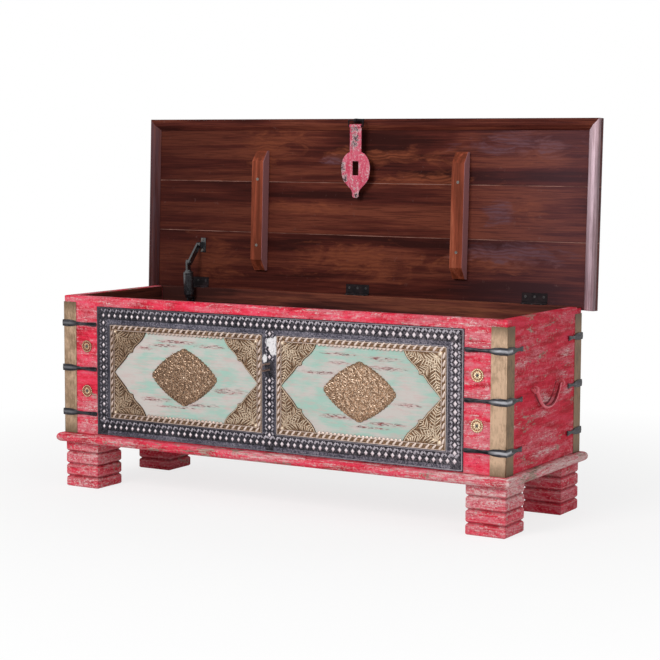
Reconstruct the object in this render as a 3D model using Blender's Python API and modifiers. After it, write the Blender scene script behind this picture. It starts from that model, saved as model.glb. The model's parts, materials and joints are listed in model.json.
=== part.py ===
import math

import bmesh
import bpy
from mathutils import Matrix, Vector
from mathutils.geometry import interpolate_bezier

# A storage chest: a painted wooden box on four grooved feet, with brass and iron
# mounts and a hinged lid that stands open. Metres, +Z up, the front towards -Y.
# The origin is on the floor, under the middle of the box.

# Box
BODY_WIDTH = 1.100
BODY_DEPTH = 0.370
BODY_HEIGHT = 0.312
PANEL_THICKNESS = 0.020
PANEL_EDGE_ROUND = 0.0015
SEAT_GAP = 0.0003
CUT_OVERRUN = 0.002
ROUND_PROFILE_SHARE = 0.5

# Base board and feet
BASE_THICKNESS = 0.021
BASE_OVERHANG = 0.015
BASE_ROUND_SHARE = 0.47
FOOT_HEIGHT = 0.103
FOOT_WIDTH = 0.088
FOOT_SIDE_INSET = 0.0003
FOOT_FRONT_INSET = 0.003
FOOT_GROOVE_WIDTH = 0.010
FOOT_GROOVE_DEPTH = 0.0045
FOOT_END_ROUND = 0.0025
FOOT_GROOVE_SHARES = (0.235, 0.505, 0.775)

# Brass angles and iron straps on the four corners
BRASS_THICKNESS = 0.0009
BRASS_BEND = 0.0016
BRASS_LEG = 0.034
BRASS_TOP_DROP = 0.014
BEND_POINTS = 5
STRAP_THICKNESS = 0.0015
STRAP_DOME = 0.0006
STRAP_HALF_HEIGHT = 0.0078
STRAP_PAST_BRASS = 0.036
STRAP_BORDER_CLEARANCE = 0.002
STRAP_FORK_DEPTH = 0.007
STRAP_PITCH = 0.101
STRAP_FRONT_SHARES = (
    (0.00, 0.55), (0.08, 0.62), (0.22, 0.50), (0.42, 0.40), (0.58, 0.50),
    (0.72, 0.88), (0.86, 1.00), (1.00, 0.92),
)
STRAP_SIDE_SHARES = (
    (0.00, 0.92), (0.20, 1.00), (0.42, 0.86), (0.58, 0.46), (0.74, 0.40), (1.00, 0.72),
)

# Iron border, inlays, brass frames, medallions and rosettes on the front
STILE_WIDTH = 0.093
BORDER_TOP_DROP = 0.021
BORDER_RISE = 0.003
BORDER_THICKNESS = 0.0012
STRIP_HEIGHT = 0.039
COLUMN_WIDTH = 0.038
DIVIDER_WIDTH = 0.036
INLAY_THICKNESS = 0.0012
FRAME_THICKNESS = 0.0012
FRAME_BAND = 0.012
WINDOW_SHARES = (
    (1.000, 0.000), (0.958, 0.095), (0.908, 0.195), (0.845, 0.325), (0.808, 0.425),
    (0.786, 0.478), (0.736, 0.500), (0.728, 0.575), (0.697, 0.650), (0.648, 0.727),
    (0.602, 0.812), (0.570, 0.900), (0.545, 1.000),
)
MEDALLION_HALF_WIDTH = 0.0865
MEDALLION_HALF_HEIGHT = 0.0625
MEDALLION_THICKNESS = 0.0010
MEDALLION_RISE = 0.0018
MEDALLION_POWER_SHARE = 1.28
MEDALLION_POINTS = 80
MEDALLION_LOBE_SHARE = 0.014
MEDALLION_RELIEF_SHARES = (
    (1.00, 0.00), (0.95, 0.10), (0.93, 0.42), (0.60, 0.85), (0.10, 1.00),
)
ROSETTE_RADIUS = 0.0145
ROSETTE_THICKNESS = 0.0012
ROSETTE_RISE = 0.0022
ROSETTE_NOTCH_SHARE = 0.90
ROSETTE_POINTS = 32
ROSETTE_RELIEF_SHARES = (
    (1.00, 0.00), (0.88, 0.25), (0.70, 0.08), (0.40, 0.75), (0.14, 1.00),
)

# Lid, measured closed from the hinge axis
OPEN_ANGLE = math.radians(92)
LID_PANEL_THICKNESS = 0.0176
LID_SIDE_OVERHANG = 0.031
LID_FRONT_OVERHANG = 0.027
LID_REAR_OVERHANG = 0.009
LID_GAP = 0.001
LID_TOP_ROUND = 0.006
RIM_DEPTH = 0.0104
RIM_CLEARANCE = 0.0015
RIM_PROFILE_SHARES = (
    (0.00, 0.00), (0.00, 0.70), (0.04, 0.90), (0.12, 1.00), (0.22, 0.98), (0.27, 0.84),
    (0.32, 0.98), (0.40, 1.00), (0.56, 1.00), (0.66, 0.80), (0.80, 0.40), (1.00, 0.10),
    (1.00, 0.00),
)
BATTEN_END_DISTANCE = 0.305
BATTEN_WIDTH = 0.031
BATTEN_DEPTH = 0.025
BATTEN_START = 0.046
BATTEN_FRONT_MARGIN = 0.048
BATTEN_CHAMFER = 0.025
BATTEN_END_DEPTH = 0.008

# Butt hinges
HINGE_SETBACK = 0.0015
HINGE_END_DISTANCE = 0.110
HINGE_LENGTH = 0.060
HINGE_LEAF_THICKNESS = 0.0018
HINGE_LEAF_MARGIN = 0.002
HINGE_LID_LEAF = 0.023
KNUCKLE_RADIUS = 0.0032
KNUCKLE_COUNT = 5
KNUCKLE_GAP = 0.0003
KNUCKLE_SIDES = 16
PIN_RADIUS = 0.0014
PIN_CLEARANCE = 0.0003
MORTISE_CLEARANCE = 0.0004

# Lid stay: a damper barrel, a link and their two brackets
STAY_END_DISTANCE = 0.109
STAY_PIVOT_SETBACK = 0.036
STAY_PIVOT_DROP = 0.040
STAY_LID_DISTANCE = 0.100
STAY_LID_STANDOFF = 0.008
STAY_BARREL_RADIUS = 0.0122
STAY_NECK_RADIUS = 0.0085
STAY_ROD_RADIUS = 0.0045
STAY_TONGUE_THICKNESS = 0.005
STAY_EYE_RADIUS = 0.0068
STAY_PIN_RADIUS = 0.0030
STAY_PIN_HEAD = 0.0048
STAY_HEAD_THICKNESS = 0.0018
STAY_PIN_CLEARANCE = 0.0003
STAY_PLATE_THICKNESS = 0.0020
STAY_PLATE_WIDTH = 0.022
STAY_PLATE_LENGTH = 0.034
STAY_WALL_LAYER = -1
STAY_LINK_LAYER = 1
STAY_LID_LAYER = 2
STAY_SIDES = 24
STAY_BARREL_SHARES = (
    (0.82, 0.00), (0.82, 0.48), (0.79, 0.70), (0.765, 0.95), (0.755, 1.00), (0.735, 1.00),
    (0.73, 0.92), (0.72, 0.92), (0.715, 1.00), (0.24, 1.00), (0.20, 0.80), (0.16, 0.72),
    (0.16, 0.00),
)

# Hasp, its ring and the eye that holds it, and the staple on the front
EYE_INSET = 0.0045
EYE_REACH = 0.0145
EYE_THICKNESS = 0.005
EYE_HALF_WIDTH = 0.0043
EYE_PLATE_LENGTH = 0.026
EYE_PLATE_WIDTH = 0.0086
EYE_PLATE_THICKNESS = 0.0015
EYE_SIDES = 20
RING_WIDTH = 0.037
RING_LENGTH = 0.013
RING_WIRE = 0.0019
RING_CLEARANCE = 0.0004
RING_SIDES = 8
HASP_LENGTH = 0.161
HASP_HALF_WIDTH = 0.037
HASP_THICKNESS = 0.0022
HASP_KNUCKLE_RADIUS = 0.0044
HASP_SLOT_DISTANCE = 0.0945
HASP_SLOT_HEIGHT = 0.032
HASP_SLOT_WIDTH = 0.016
HASP_HOLE_DISTANCE = 0.155
HASP_HOLE_RADIUS = 0.002
HASP_OUTLINE_SHARES = (
    (0.362, 0.392), (0.378, 0.560), (0.418, 0.755), (0.487, 0.928), (0.585, 1.000),
    (0.692, 0.940), (0.771, 0.800), (0.849, 0.470), (0.888, 0.305), (0.935, 0.214),
    (0.975, 0.214), (1.000, 0.120),
)
HASP_SMOOTH_STEPS = 4
HASP_HANDLE_SHARE = 0.167
STAPLE_REACH = 0.035
STAPLE_HEIGHT = 0.0170
STAPLE_WIRE = 0.0020
STAPLE_RISE = 0.005
STAPLE_WINDOW_MARGIN = 0.004

# Bail handles on the ends
HANDLE_HEIGHT = 0.1625
HANDLE_SPAN = 0.131
HANDLE_STANDOFF = 0.009
HANDLE_DROP = 0.042
HANDLE_BAR = 0.0034
HANDLE_PIN = 0.0026
HANDLE_END = 0.006
HANDLE_CURVE_SHARE = 2.6
HANDLE_POINTS = 16
LOOP_WIRE = 0.0024
LOOP_CLEARANCE = 0.0006
LOOP_SIDES = 20

# Places that follow from the sizes above
BASE_TOP = FOOT_HEIGHT + BASE_THICKNESS
WALL_TOP = BASE_TOP + BODY_HEIGHT
HALF_WIDTH = BODY_WIDTH / 2
HALF_DEPTH = BODY_DEPTH / 2
AXIS_Y = HALF_DEPTH + HINGE_SETBACK
AXIS_Z = WALL_TOP + LID_GAP / 2
LID_FRONT = BODY_DEPTH + HINGE_SETBACK + LID_FRONT_OVERHANG
LID_HALF_WIDTH = HALF_WIDTH + LID_SIDE_OVERHANG
RIM_WIDTH = min(LID_FRONT_OVERHANG, LID_SIDE_OVERHANG) - RIM_CLEARANCE
FIELD = LID_GAP / 2
RIM_BOTTOM = FIELD - SEAT_GAP - RIM_DEPTH
BATTEN_INNER = HALF_WIDTH - BATTEN_END_DISTANCE
BATTEN_END = LID_FRONT - RIM_WIDTH - BATTEN_FRONT_MARGIN
HINGE_SPACING = HALF_WIDTH - HINGE_END_DISTANCE
STAY_CENTRE = STAY_END_DISTANCE - HALF_WIDTH
BRASS_TOP = WALL_TOP - BRASS_TOP_DROP
BRASS_FACE = SEAT_GAP + BRASS_THICKNESS
STRAP_SIDE_REACH = BRASS_LEG + STRAP_PAST_BRASS
BORDER_WIDTH = BODY_WIDTH - 2 * STILE_WIDTH
BORDER_HEIGHT = BODY_HEIGHT - BORDER_RISE - BORDER_TOP_DROP
BORDER_BOTTOM = BASE_TOP + BORDER_RISE
OPENING_WIDTH = (BORDER_WIDTH - DIVIDER_WIDTH) / 2 - COLUMN_WIDTH
OPENING_HEIGHT = BORDER_HEIGHT - 2 * STRIP_HEIGHT
OPENING_CENTRE_X = (DIVIDER_WIDTH + OPENING_WIDTH) / 2
OPENING_CENTRE_Z = BORDER_BOTTOM + BORDER_HEIGHT / 2
INLAY_WIDTH = OPENING_WIDTH - 2 * SEAT_GAP
INLAY_HEIGHT = OPENING_HEIGHT - 2 * SEAT_GAP
INLAY_FACE = SEAT_GAP + INLAY_THICKNESS
RING_PIVOT_Y = EYE_INSET - LID_FRONT
RING_PIVOT_Z = RIM_BOTTOM - EYE_REACH
STAPLE_Z = AXIS_Z + RING_PIVOT_Z - RING_LENGTH - HASP_SLOT_DISTANCE + STAPLE_RISE

FINISHES = {
    "red_paint": ((0.62, 0.06, 0.10), 0.6, 0.0),
    "mint_paint": ((0.52, 0.66, 0.60), 0.6, 0.0),
    "dark_wood": ((0.12, 0.035, 0.02), 0.35, 0.0),
    "light_wood": ((0.30, 0.11, 0.035), 0.4, 0.0),
    "brass": ((0.60, 0.45, 0.22), 0.4, 1.0),
    "iron": ((0.06, 0.06, 0.07), 0.45, 1.0),
    "red_iron": ((0.70, 0.12, 0.18), 0.55, 0.2),
    "black_steel": ((0.01, 0.01, 0.012), 0.2, 0.6),
}


def clear_scene():
    for old in list(bpy.data.objects):
        bpy.data.objects.remove(old, do_unlink=True)


def add_collection(name):
    collection = bpy.data.collections.new(name)
    bpy.context.scene.collection.children.link(collection)
    return collection


def give_finish(obj, finish):
    colour, roughness, metallic = FINISHES[finish]
    material = bpy.data.materials.new(obj.name + "_finish")
    material.use_nodes = True
    shader = material.node_tree.nodes["Principled BSDF"]
    shader.inputs["Base Color"].default_value = (*colour, 1.0)
    shader.inputs["Roughness"].default_value = roughness
    shader.inputs["Metallic"].default_value = metallic
    obj.data.materials.clear()
    obj.data.materials.append(material)


def add_empty(name, location, turn=0, parent=None):
    empty = bpy.data.objects.new(name, None)
    empty.location = location
    empty.rotation_euler = (turn, 0, 0)
    empty.parent = parent
    PARTS.objects.link(empty)
    return empty


def add_part(name, mesh, finish, location=(0, 0, 0), parent=None, smooth=False):
    mesh.name = name
    obj = bpy.data.objects.new(name, mesh)
    obj.location = location
    obj.parent = parent
    PARTS.objects.link(obj)
    if smooth:
        mesh.shade_smooth()
        mesh.set_sharp_from_angle(angle=math.radians(40))
    give_finish(obj, finish)
    return obj


def finish_mesh(bm, name="shape"):
    bmesh.ops.recalc_face_normals(bm, faces=bm.faces)
    mesh = bpy.data.meshes.new(name)
    bm.to_mesh(mesh)
    bm.free()
    return mesh


def add_block(bm, low, high):
    # A box between two corners.
    size = Vector(high) - Vector(low)
    middle = (Vector(high) + Vector(low)) / 2
    matrix = Matrix.Translation(middle) @ Matrix.Diagonal((*size, 1))
    return bmesh.ops.create_cube(bm, size=1, matrix=matrix)["verts"]


def block_mesh(low, high, edge_round=0, segments=1):
    bm = bmesh.new()
    add_block(bm, low, high)
    if edge_round:
        bmesh.ops.bevel(bm, geom=bm.edges[:], offset=edge_round, segments=segments,
                        profile=ROUND_PROFILE_SHARE, affect="EDGES")
    return finish_mesh(bm)


def rod_mesh(radius, start, end, sides):
    # A cylinder from one point to another.
    along = Vector(end) - Vector(start)
    turn = along.to_track_quat("Z", "Y").to_matrix().to_4x4()
    matrix = Matrix.Translation((Vector(start) + Vector(end)) / 2) @ turn
    bm = bmesh.new()
    bmesh.ops.create_cone(bm, cap_ends=True, segments=sides, radius1=radius,
                          radius2=radius, depth=along.length, matrix=matrix)
    return finish_mesh(bm)


def plate_mesh(outlines, back, front):
    # A flat plate in the XZ plane from its outline and any holes, between two depths.
    bm = bmesh.new()
    edges = []
    for outline in outlines:
        loop = [bm.verts.new((x, back, z)) for x, z in outline]
        for first, second in zip(loop, loop[1:] + loop[:1]):
            edges.append(bm.edges.new((first, second)))
    bmesh.ops.triangle_fill(bm, use_beauty=True, edges=edges)
    raised = bmesh.ops.extrude_face_region(bm, geom=bm.faces[:])
    moved = [item for item in raised["geom"] if isinstance(item, bmesh.types.BMVert)]
    bmesh.ops.translate(bm, verts=moved, vec=(0, front - back, 0))
    return finish_mesh(bm)


def loft_mesh(rings):
    # A solid through rings of equal point count, with a face at each end.
    bm = bmesh.new()
    loops = [[bm.verts.new(point) for point in ring] for ring in rings]
    for lower, upper in zip(loops, loops[1:]):
        for index in range(len(lower)):
            after = (index + 1) % len(lower)
            bm.faces.new((lower[index], lower[after], upper[after], upper[index]))
    bm.faces.new(loops[0])
    bm.faces.new(loops[-1])
    return finish_mesh(bm)


def turned_mesh(profile, sides):
    # A profile of (radius, height) points, top to bottom, turned about Z.
    mesh = bpy.data.meshes.new("profile")
    edges = [(index, index + 1) for index in range(len(profile) - 1)]
    mesh.from_pydata([(radius, 0, height) for radius, height in profile], edges, [])
    obj = bpy.data.objects.new("profile", mesh)
    bpy.context.scene.collection.objects.link(obj)
    screw = obj.modifiers.new("turn", "SCREW")
    screw.axis = "Z"
    screw.steps = sides
    screw.render_steps = sides
    screw.use_merge_vertices = True
    screw.merge_threshold = SEAT_GAP / 10
    return taken_mesh(obj)


def taken_mesh(obj):
    # The mesh of an object with its modifiers applied; the object is removed.
    graph = bpy.context.evaluated_depsgraph_get()
    graph.update()
    mesh = bpy.data.meshes.new_from_object(obj.evaluated_get(graph))
    bpy.data.objects.remove(obj, do_unlink=True)
    return mesh


def combined_mesh(base, tools):
    # One solid from a mesh and a list of (operation, mesh) steps.
    scene = bpy.context.scene.collection
    obj = bpy.data.objects.new("base", base)
    scene.objects.link(obj)
    helpers = []
    for operation, mesh in tools:
        helper = bpy.data.objects.new("tool", mesh)
        scene.objects.link(helper)
        helpers.append(helper)
        step = obj.modifiers.new(operation, "BOOLEAN")
        step.operation = operation
        step.object = helper
        step.solver = "EXACT"
    mesh = taken_mesh(obj)
    for helper in helpers:
        bpy.data.objects.remove(helper, do_unlink=True)
    return mesh


def moved_mesh(mesh, offset):
    mesh.transform(Matrix.Translation(offset))
    return mesh


def tube_mesh(points, radius, resolution, cyclic=False):
    # A round bar along points, closed at its ends.
    curve = bpy.data.curves.new("bar", "CURVE")
    curve.dimensions = "3D"
    curve.bevel_depth = radius
    curve.bevel_resolution = resolution
    curve.use_fill_caps = not cyclic
    spline = curve.splines.new("POLY")
    spline.points.add(len(points) - 1)
    spline.use_cyclic_u = cyclic
    for place, point in zip(spline.points, points):
        place.co = (*point, 1)
    obj = bpy.data.objects.new("bar", curve)
    bpy.context.scene.collection.objects.link(obj)
    mesh = taken_mesh(obj)
    bm = bmesh.new()
    bm.from_mesh(mesh)
    bmesh.ops.remove_doubles(bm, verts=bm.verts, dist=SEAT_GAP / 10)
    return finish_mesh(bm)


def mirrored_outline(quarter, half_width, half_height, centre_x, centre_z):
    # A closed outline from the shares of its first quarter, from the side to the top.
    right = list(quarter)
    left = [(-x, z) for x, z in reversed(quarter)]
    top = right + [point for point in left if point not in right]
    bottom = [(x, -z) for x, z in reversed(top) if z > 0]
    return [(centre_x + x * half_width, centre_z + z * half_height)
            for x, z in top + bottom]


def rectangle(half_width, half_height, centre_x=0, centre_z=0):
    return [(centre_x + x * half_width, centre_z + z * half_height)
            for x, z in ((1, 1), (-1, 1), (-1, -1), (1, -1))]


def arc_points(radius, start, end, count, centre=(0, 0)):
    # Points on an arc between two angles, in a plane.
    step = (end - start) / (count - 1)
    return [(centre[0] + radius * math.cos(start + step * index),
             centre[1] + radius * math.sin(start + step * index)) for index in range(count)]


def make_panels():
    low_z = BASE_TOP + SEAT_GAP
    inner = HALF_DEPTH - PANEL_THICKNESS
    front = block_mesh((-HALF_WIDTH, -HALF_DEPTH, low_z), (HALF_WIDTH, -inner, WALL_TOP),
                       PANEL_EDGE_ROUND)
    add_part("front_panel", front, "red_paint")
    rear = block_mesh((-HALF_WIDTH, inner, low_z), (HALF_WIDTH, HALF_DEPTH, WALL_TOP),
                      PANEL_EDGE_ROUND)
    cuts = []
    half = HINGE_LENGTH / 2 + MORTISE_CLEARANCE
    leaf_start = inner + HINGE_LEAF_MARGIN - MORTISE_CLEARANCE
    leaf_floor = WALL_TOP - HINGE_LEAF_THICKNESS - MORTISE_CLEARANCE
    knuckle_start = AXIS_Y - KNUCKLE_RADIUS - MORTISE_CLEARANCE
    knuckle_floor = AXIS_Z - KNUCKLE_RADIUS - MORTISE_CLEARANCE
    for place in hinge_places():
        cuts.append(("DIFFERENCE", block_mesh(
            (place - half, leaf_start, leaf_floor),
            (place + half, HALF_DEPTH + CUT_OVERRUN, WALL_TOP + CUT_OVERRUN))))
        cuts.append(("DIFFERENCE", block_mesh(
            (place - half, knuckle_start, knuckle_floor),
            (place + half, HALF_DEPTH + CUT_OVERRUN, leaf_floor + CUT_OVERRUN / 2))))
    add_part("rear_panel", combined_mesh(rear, cuts), "red_paint")
    for side, sign in (("left", -1), ("right", 1)):
        outer = sign * HALF_WIDTH
        nearer = sign * (HALF_WIDTH - PANEL_THICKNESS)
        mesh = block_mesh((min(outer, nearer), SEAT_GAP - inner, low_z),
                          (max(outer, nearer), inner - SEAT_GAP, WALL_TOP), PANEL_EDGE_ROUND)
        add_part("side_panel_" + side, mesh, "red_paint")


def make_base_board():
    # A plank whose long edges are rounded to a half circle.
    bm = bmesh.new()
    half_x = HALF_WIDTH + BASE_OVERHANG
    half_y = HALF_DEPTH + BASE_OVERHANG
    add_block(bm, (-half_x, -half_y, FOOT_HEIGHT + SEAT_GAP), (half_x, half_y, BASE_TOP))
    level = [edge for edge in bm.edges
             if abs(edge.verts[0].co.z - edge.verts[1].co.z) < SEAT_GAP]
    bmesh.ops.bevel(bm, geom=level, offset=BASE_THICKNESS * BASE_ROUND_SHARE, segments=4,
                    profile=ROUND_PROFILE_SHARE, affect="EDGES")
    add_part("base_board", finish_mesh(bm), "red_paint", smooth=True)


def foot_rings():
    # Square sections up the foot: rounded tiers with a groove between each two.
    steps = [(0, FOOT_END_ROUND), (FOOT_END_ROUND, 0)]
    half = FOOT_GROOVE_WIDTH / 2
    for share in FOOT_GROOVE_SHARES:
        middle = FOOT_HEIGHT * share
        steps.append((middle - half, 0))
        steps.append((middle - half / 2, FOOT_GROOVE_DEPTH / 3))
        steps.append((middle, FOOT_GROOVE_DEPTH))
        steps.append((middle + half / 2, FOOT_GROOVE_DEPTH / 3))
        steps.append((middle + half, 0))
    steps.append((FOOT_HEIGHT, 0))
    rings = []
    for height, inset in steps:
        reach = FOOT_WIDTH / 2 - inset
        rings.append([(x * reach, y * reach, height)
                      for x, y in ((-1, -1), (1, -1), (1, 1), (-1, 1))])
    return rings


def make_feet():
    place_x = HALF_WIDTH - FOOT_SIDE_INSET - FOOT_WIDTH / 2
    place_y = HALF_DEPTH - FOOT_FRONT_INSET - FOOT_WIDTH / 2
    for corner, sign_x, sign_y in corners():
        add_part("foot_" + corner, loft_mesh(foot_rings()), "red_paint",
                 location=(sign_x * place_x, sign_y * place_y, 0))


def corners():
    return (("front_left", -1, -1), ("front_right", 1, -1),
            ("rear_left", -1, 1), ("rear_right", 1, 1))


def make_corner_brasses():
    # An angle of sheet brass bent round each upright corner.
    near = SEAT_GAP
    far = BRASS_FACE
    outline = [(-BRASS_LEG, far), (-BRASS_LEG, near), (near, near), (near, -BRASS_LEG),
               (far, -BRASS_LEG)]
    centre = far - BRASS_BEND
    outline += arc_points(BRASS_BEND, 0, math.pi / 2, BEND_POINTS, (centre, centre))
    for corner, sign_x, sign_y in corners():
        rings = []
        for height in (BASE_TOP + SEAT_GAP, BRASS_TOP):
            rings.append([(sign_x * (HALF_WIDTH + x), sign_y * (HALF_DEPTH + y), height)
                          for x, y in outline])
        add_part("corner_brass_" + corner, loft_mesh(rings), "brass")


def strap_ring(inner, outer, half_height, height, pull):
    # One section of a strap: flat behind, slightly domed in front.
    middle_inner = inner + pull
    middle_outer = outer + pull + (outer - inner).normalized() * STRAP_DOME
    low = height - half_height
    high = height + half_height
    return [(*inner, low), (*middle_inner, height), (*inner, high),
            (*outer, high), (*middle_outer, height), (*outer, low)]


def strap_mesh(sign_x, sign_y, height):
    # A strap bent round a corner: a long leg on the face, a forked leg on the end.
    reach = STILE_WIDTH - STRAP_BORDER_CLEARANCE
    near = BRASS_FACE + SEAT_GAP
    far = near + STRAP_THICKNESS
    turn = Vector((sign_x, sign_y))
    corner = Vector((sign_x * HALF_WIDTH, sign_y * HALF_DEPTH))
    rings = []
    for share, half_share in STRAP_FRONT_SHARES[:-1]:
        along = Vector((-sign_x * reach * (1 - share), 0))
        inner = corner + along + Vector((0, sign_y * near))
        outer = corner + along + Vector((0, sign_y * far))
        rings.append(strap_ring(inner, outer, half_share * STRAP_HALF_HEIGHT, height,
                                Vector((0, 0))))
    bend = STRAP_SIDE_SHARES[0][1] * STRAP_HALF_HEIGHT
    rings.append(strap_ring(corner + turn * near, corner + turn * far, bend, height,
                            Vector((0, 0))))
    for share, half_share in STRAP_SIDE_SHARES[1:]:
        along = Vector((0, -sign_y * STRAP_SIDE_REACH * share))
        inner = corner + along + Vector((sign_x * near, 0))
        outer = corner + along + Vector((sign_x * far, 0))
        pull = Vector((0, sign_y * STRAP_FORK_DEPTH)) if share == 1 else Vector((0, 0))
        rings.append(strap_ring(inner, outer, half_share * STRAP_HALF_HEIGHT, height, pull))
    return loft_mesh(rings)


def strap_heights():
    middle = (BASE_TOP + BRASS_TOP) / 2
    return (middle - STRAP_PITCH, middle, middle + STRAP_PITCH)


def make_corner_straps():
    levels = ("low", "middle", "high")
    for corner, sign_x, sign_y in corners():
        for level, height in zip(levels, strap_heights()):
            name = "corner_strap_" + corner + "_" + level
            add_part(name, strap_mesh(sign_x, sign_y, height), "iron", smooth=True)


def make_iron_border():
    # A ladder of sheet iron with two openings and a small window for the staple.
    outlines = [rectangle(BORDER_WIDTH / 2, BORDER_HEIGHT / 2, 0, OPENING_CENTRE_Z)]
    for sign in (-1, 1):
        outlines.append(rectangle(OPENING_WIDTH / 2, OPENING_HEIGHT / 2,
                                  sign * OPENING_CENTRE_X, OPENING_CENTRE_Z))
    outlines.append(rectangle(STAPLE_WIRE + STAPLE_WINDOW_MARGIN,
                              STAPLE_HEIGHT / 2 + STAPLE_WINDOW_MARGIN, 0, STAPLE_Z))
    mesh = plate_mesh(outlines, -HALF_DEPTH - SEAT_GAP,
                      -HALF_DEPTH - SEAT_GAP - BORDER_THICKNESS)
    add_part("iron_border", mesh, "iron")


def make_front_inlays():
    back = -HALF_DEPTH - SEAT_GAP
    frame_back = -HALF_DEPTH - INLAY_FACE - SEAT_GAP
    for side, sign in (("left", -1), ("right", 1)):
        middle = sign * OPENING_CENTRE_X
        board = plate_mesh([rectangle(INLAY_WIDTH / 2, INLAY_HEIGHT / 2, middle,
                                      OPENING_CENTRE_Z)], back, back - INLAY_THICKNESS)
        add_part("inlay_panel_" + side, board, "mint_paint")
        window = mirrored_outline(WINDOW_SHARES, INLAY_WIDTH / 2 - FRAME_BAND,
                                  INLAY_HEIGHT / 2 - FRAME_BAND, middle, OPENING_CENTRE_Z)
        frame = plate_mesh([rectangle(INLAY_WIDTH / 2, INLAY_HEIGHT / 2, middle,
                                      OPENING_CENTRE_Z), window],
                           frame_back, frame_back - FRAME_THICKNESS)
        add_part("brass_frame_" + side, frame, "brass")
        add_part("medallion_" + side, medallion_mesh(), "brass",
                 location=(middle, frame_back, OPENING_CENTRE_Z), smooth=True)


def relief_mesh(outline, thickness, rise, relief):
    # A plate about the origin whose front steps up as its outline shrinks.
    rings = [[(x, 0, z) for x, z in outline]]
    for share, height in relief:
        depth = thickness + height * rise
        rings.append([(x * share, -depth, z * share) for x, z in outline])
    return loft_mesh(rings)


def medallion_mesh():
    # A lobed lozenge of sheet brass with a raised middle.
    outline = []
    for index in range(MEDALLION_POINTS):
        angle = 2 * math.pi * index / MEDALLION_POINTS
        spread = (abs(math.cos(angle)) ** MEDALLION_POWER_SHARE
                  + abs(math.sin(angle)) ** MEDALLION_POWER_SHARE)
        reach = spread ** (-1 / MEDALLION_POWER_SHARE)
        reach *= 1 - MEDALLION_LOBE_SHARE * (index % 2)
        outline.append((MEDALLION_HALF_WIDTH * reach * math.cos(angle),
                        MEDALLION_HALF_HEIGHT * reach * math.sin(angle)))
    return relief_mesh(outline, MEDALLION_THICKNESS, MEDALLION_RISE,
                       MEDALLION_RELIEF_SHARES)


def rosette_mesh():
    # A notched disc with a raised rim and a domed boss.
    outline = []
    for index in range(ROSETTE_POINTS):
        angle = 2 * math.pi * index / ROSETTE_POINTS
        reach = ROSETTE_RADIUS * (1 if index % 2 else ROSETTE_NOTCH_SHARE)
        outline.append((reach * math.cos(angle), reach * math.sin(angle)))
    return relief_mesh(outline, ROSETTE_THICKNESS, ROSETTE_RISE, ROSETTE_RELIEF_SHARES)


def make_rosettes():
    place_x = HALF_WIDTH - (STILE_WIDTH + BRASS_LEG) / 2
    low, middle, high = strap_heights()
    rows = (("low", (low + middle) / 2), ("high", (middle + high) / 2))
    for side, sign in (("left", -1), ("right", 1)):
        for level, height in rows:
            add_part("rosette_" + side + "_" + level, rosette_mesh(), "brass",
                     location=(sign * place_x, -HALF_DEPTH - SEAT_GAP, height))


def hinge_places():
    return (-HINGE_SPACING, 0, HINGE_SPACING)


def knuckle_spans():
    # Start and end of each knuckle along the pin, from the hinge's middle.
    pitch = HINGE_LENGTH / KNUCKLE_COUNT
    spans = []
    for index in range(KNUCKLE_COUNT):
        start = index * pitch - HINGE_LENGTH / 2
        spans.append((start + KNUCKLE_GAP / 2, start + pitch - KNUCKLE_GAP / 2))
    return spans


def hinge_leaf_mesh(leaf_end, side, spans, bored):
    # A leaf on one side of the pin line; side is 1 for the lid and -1 for the box.
    clear = KNUCKLE_RADIUS + MORTISE_CLEARANCE
    half = HINGE_LENGTH / 2
    near = side * (LID_GAP / 2)
    far = side * (LID_GAP / 2 + HINGE_LEAF_THICKNESS)
    low_z, high_z = min(near, far), max(near, far)
    leaf = block_mesh((-half, -leaf_end, low_z), (half, -clear, high_z))
    tools = []
    for start, end in spans:
        tools.append(("UNION", block_mesh((start, -clear - HINGE_LEAF_THICKNESS, low_z),
                                          (end, 0, high_z))))
        tools.append(("UNION", rod_mesh(KNUCKLE_RADIUS, (start, 0, 0), (end, 0, 0),
                                        KNUCKLE_SIDES)))
    if bored:
        tools.append(("DIFFERENCE", rod_mesh(PIN_RADIUS + PIN_CLEARANCE,
                                             (-half - CUT_OVERRUN, 0, 0),
                                             (half + CUT_OVERRUN, 0, 0), KNUCKLE_SIDES)))
    else:
        tools.append(("UNION", rod_mesh(PIN_RADIUS, (-half, 0, 0), (half, 0, 0),
                                        KNUCKLE_SIDES)))
    return combined_mesh(leaf, tools)


def make_hinges(lid_pivot):
    spans = knuckle_spans()
    box_reach = PANEL_THICKNESS + HINGE_SETBACK - HINGE_LEAF_MARGIN
    for name, place in zip(("left", "centre", "right"), hinge_places()):
        box_leaf = hinge_leaf_mesh(box_reach, -1, spans[0::2], False)
        add_part("hinge_leaf_box_" + name, box_leaf, "black_steel",
                 location=(place, AXIS_Y, AXIS_Z))
        lid_leaf = hinge_leaf_mesh(HINGE_LID_LEAF, 1, spans[1::2], True)
        add_part("hinge_leaf_lid_" + name, lid_leaf, "black_steel",
                 location=(place, 0, 0), parent=lid_pivot)


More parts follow.
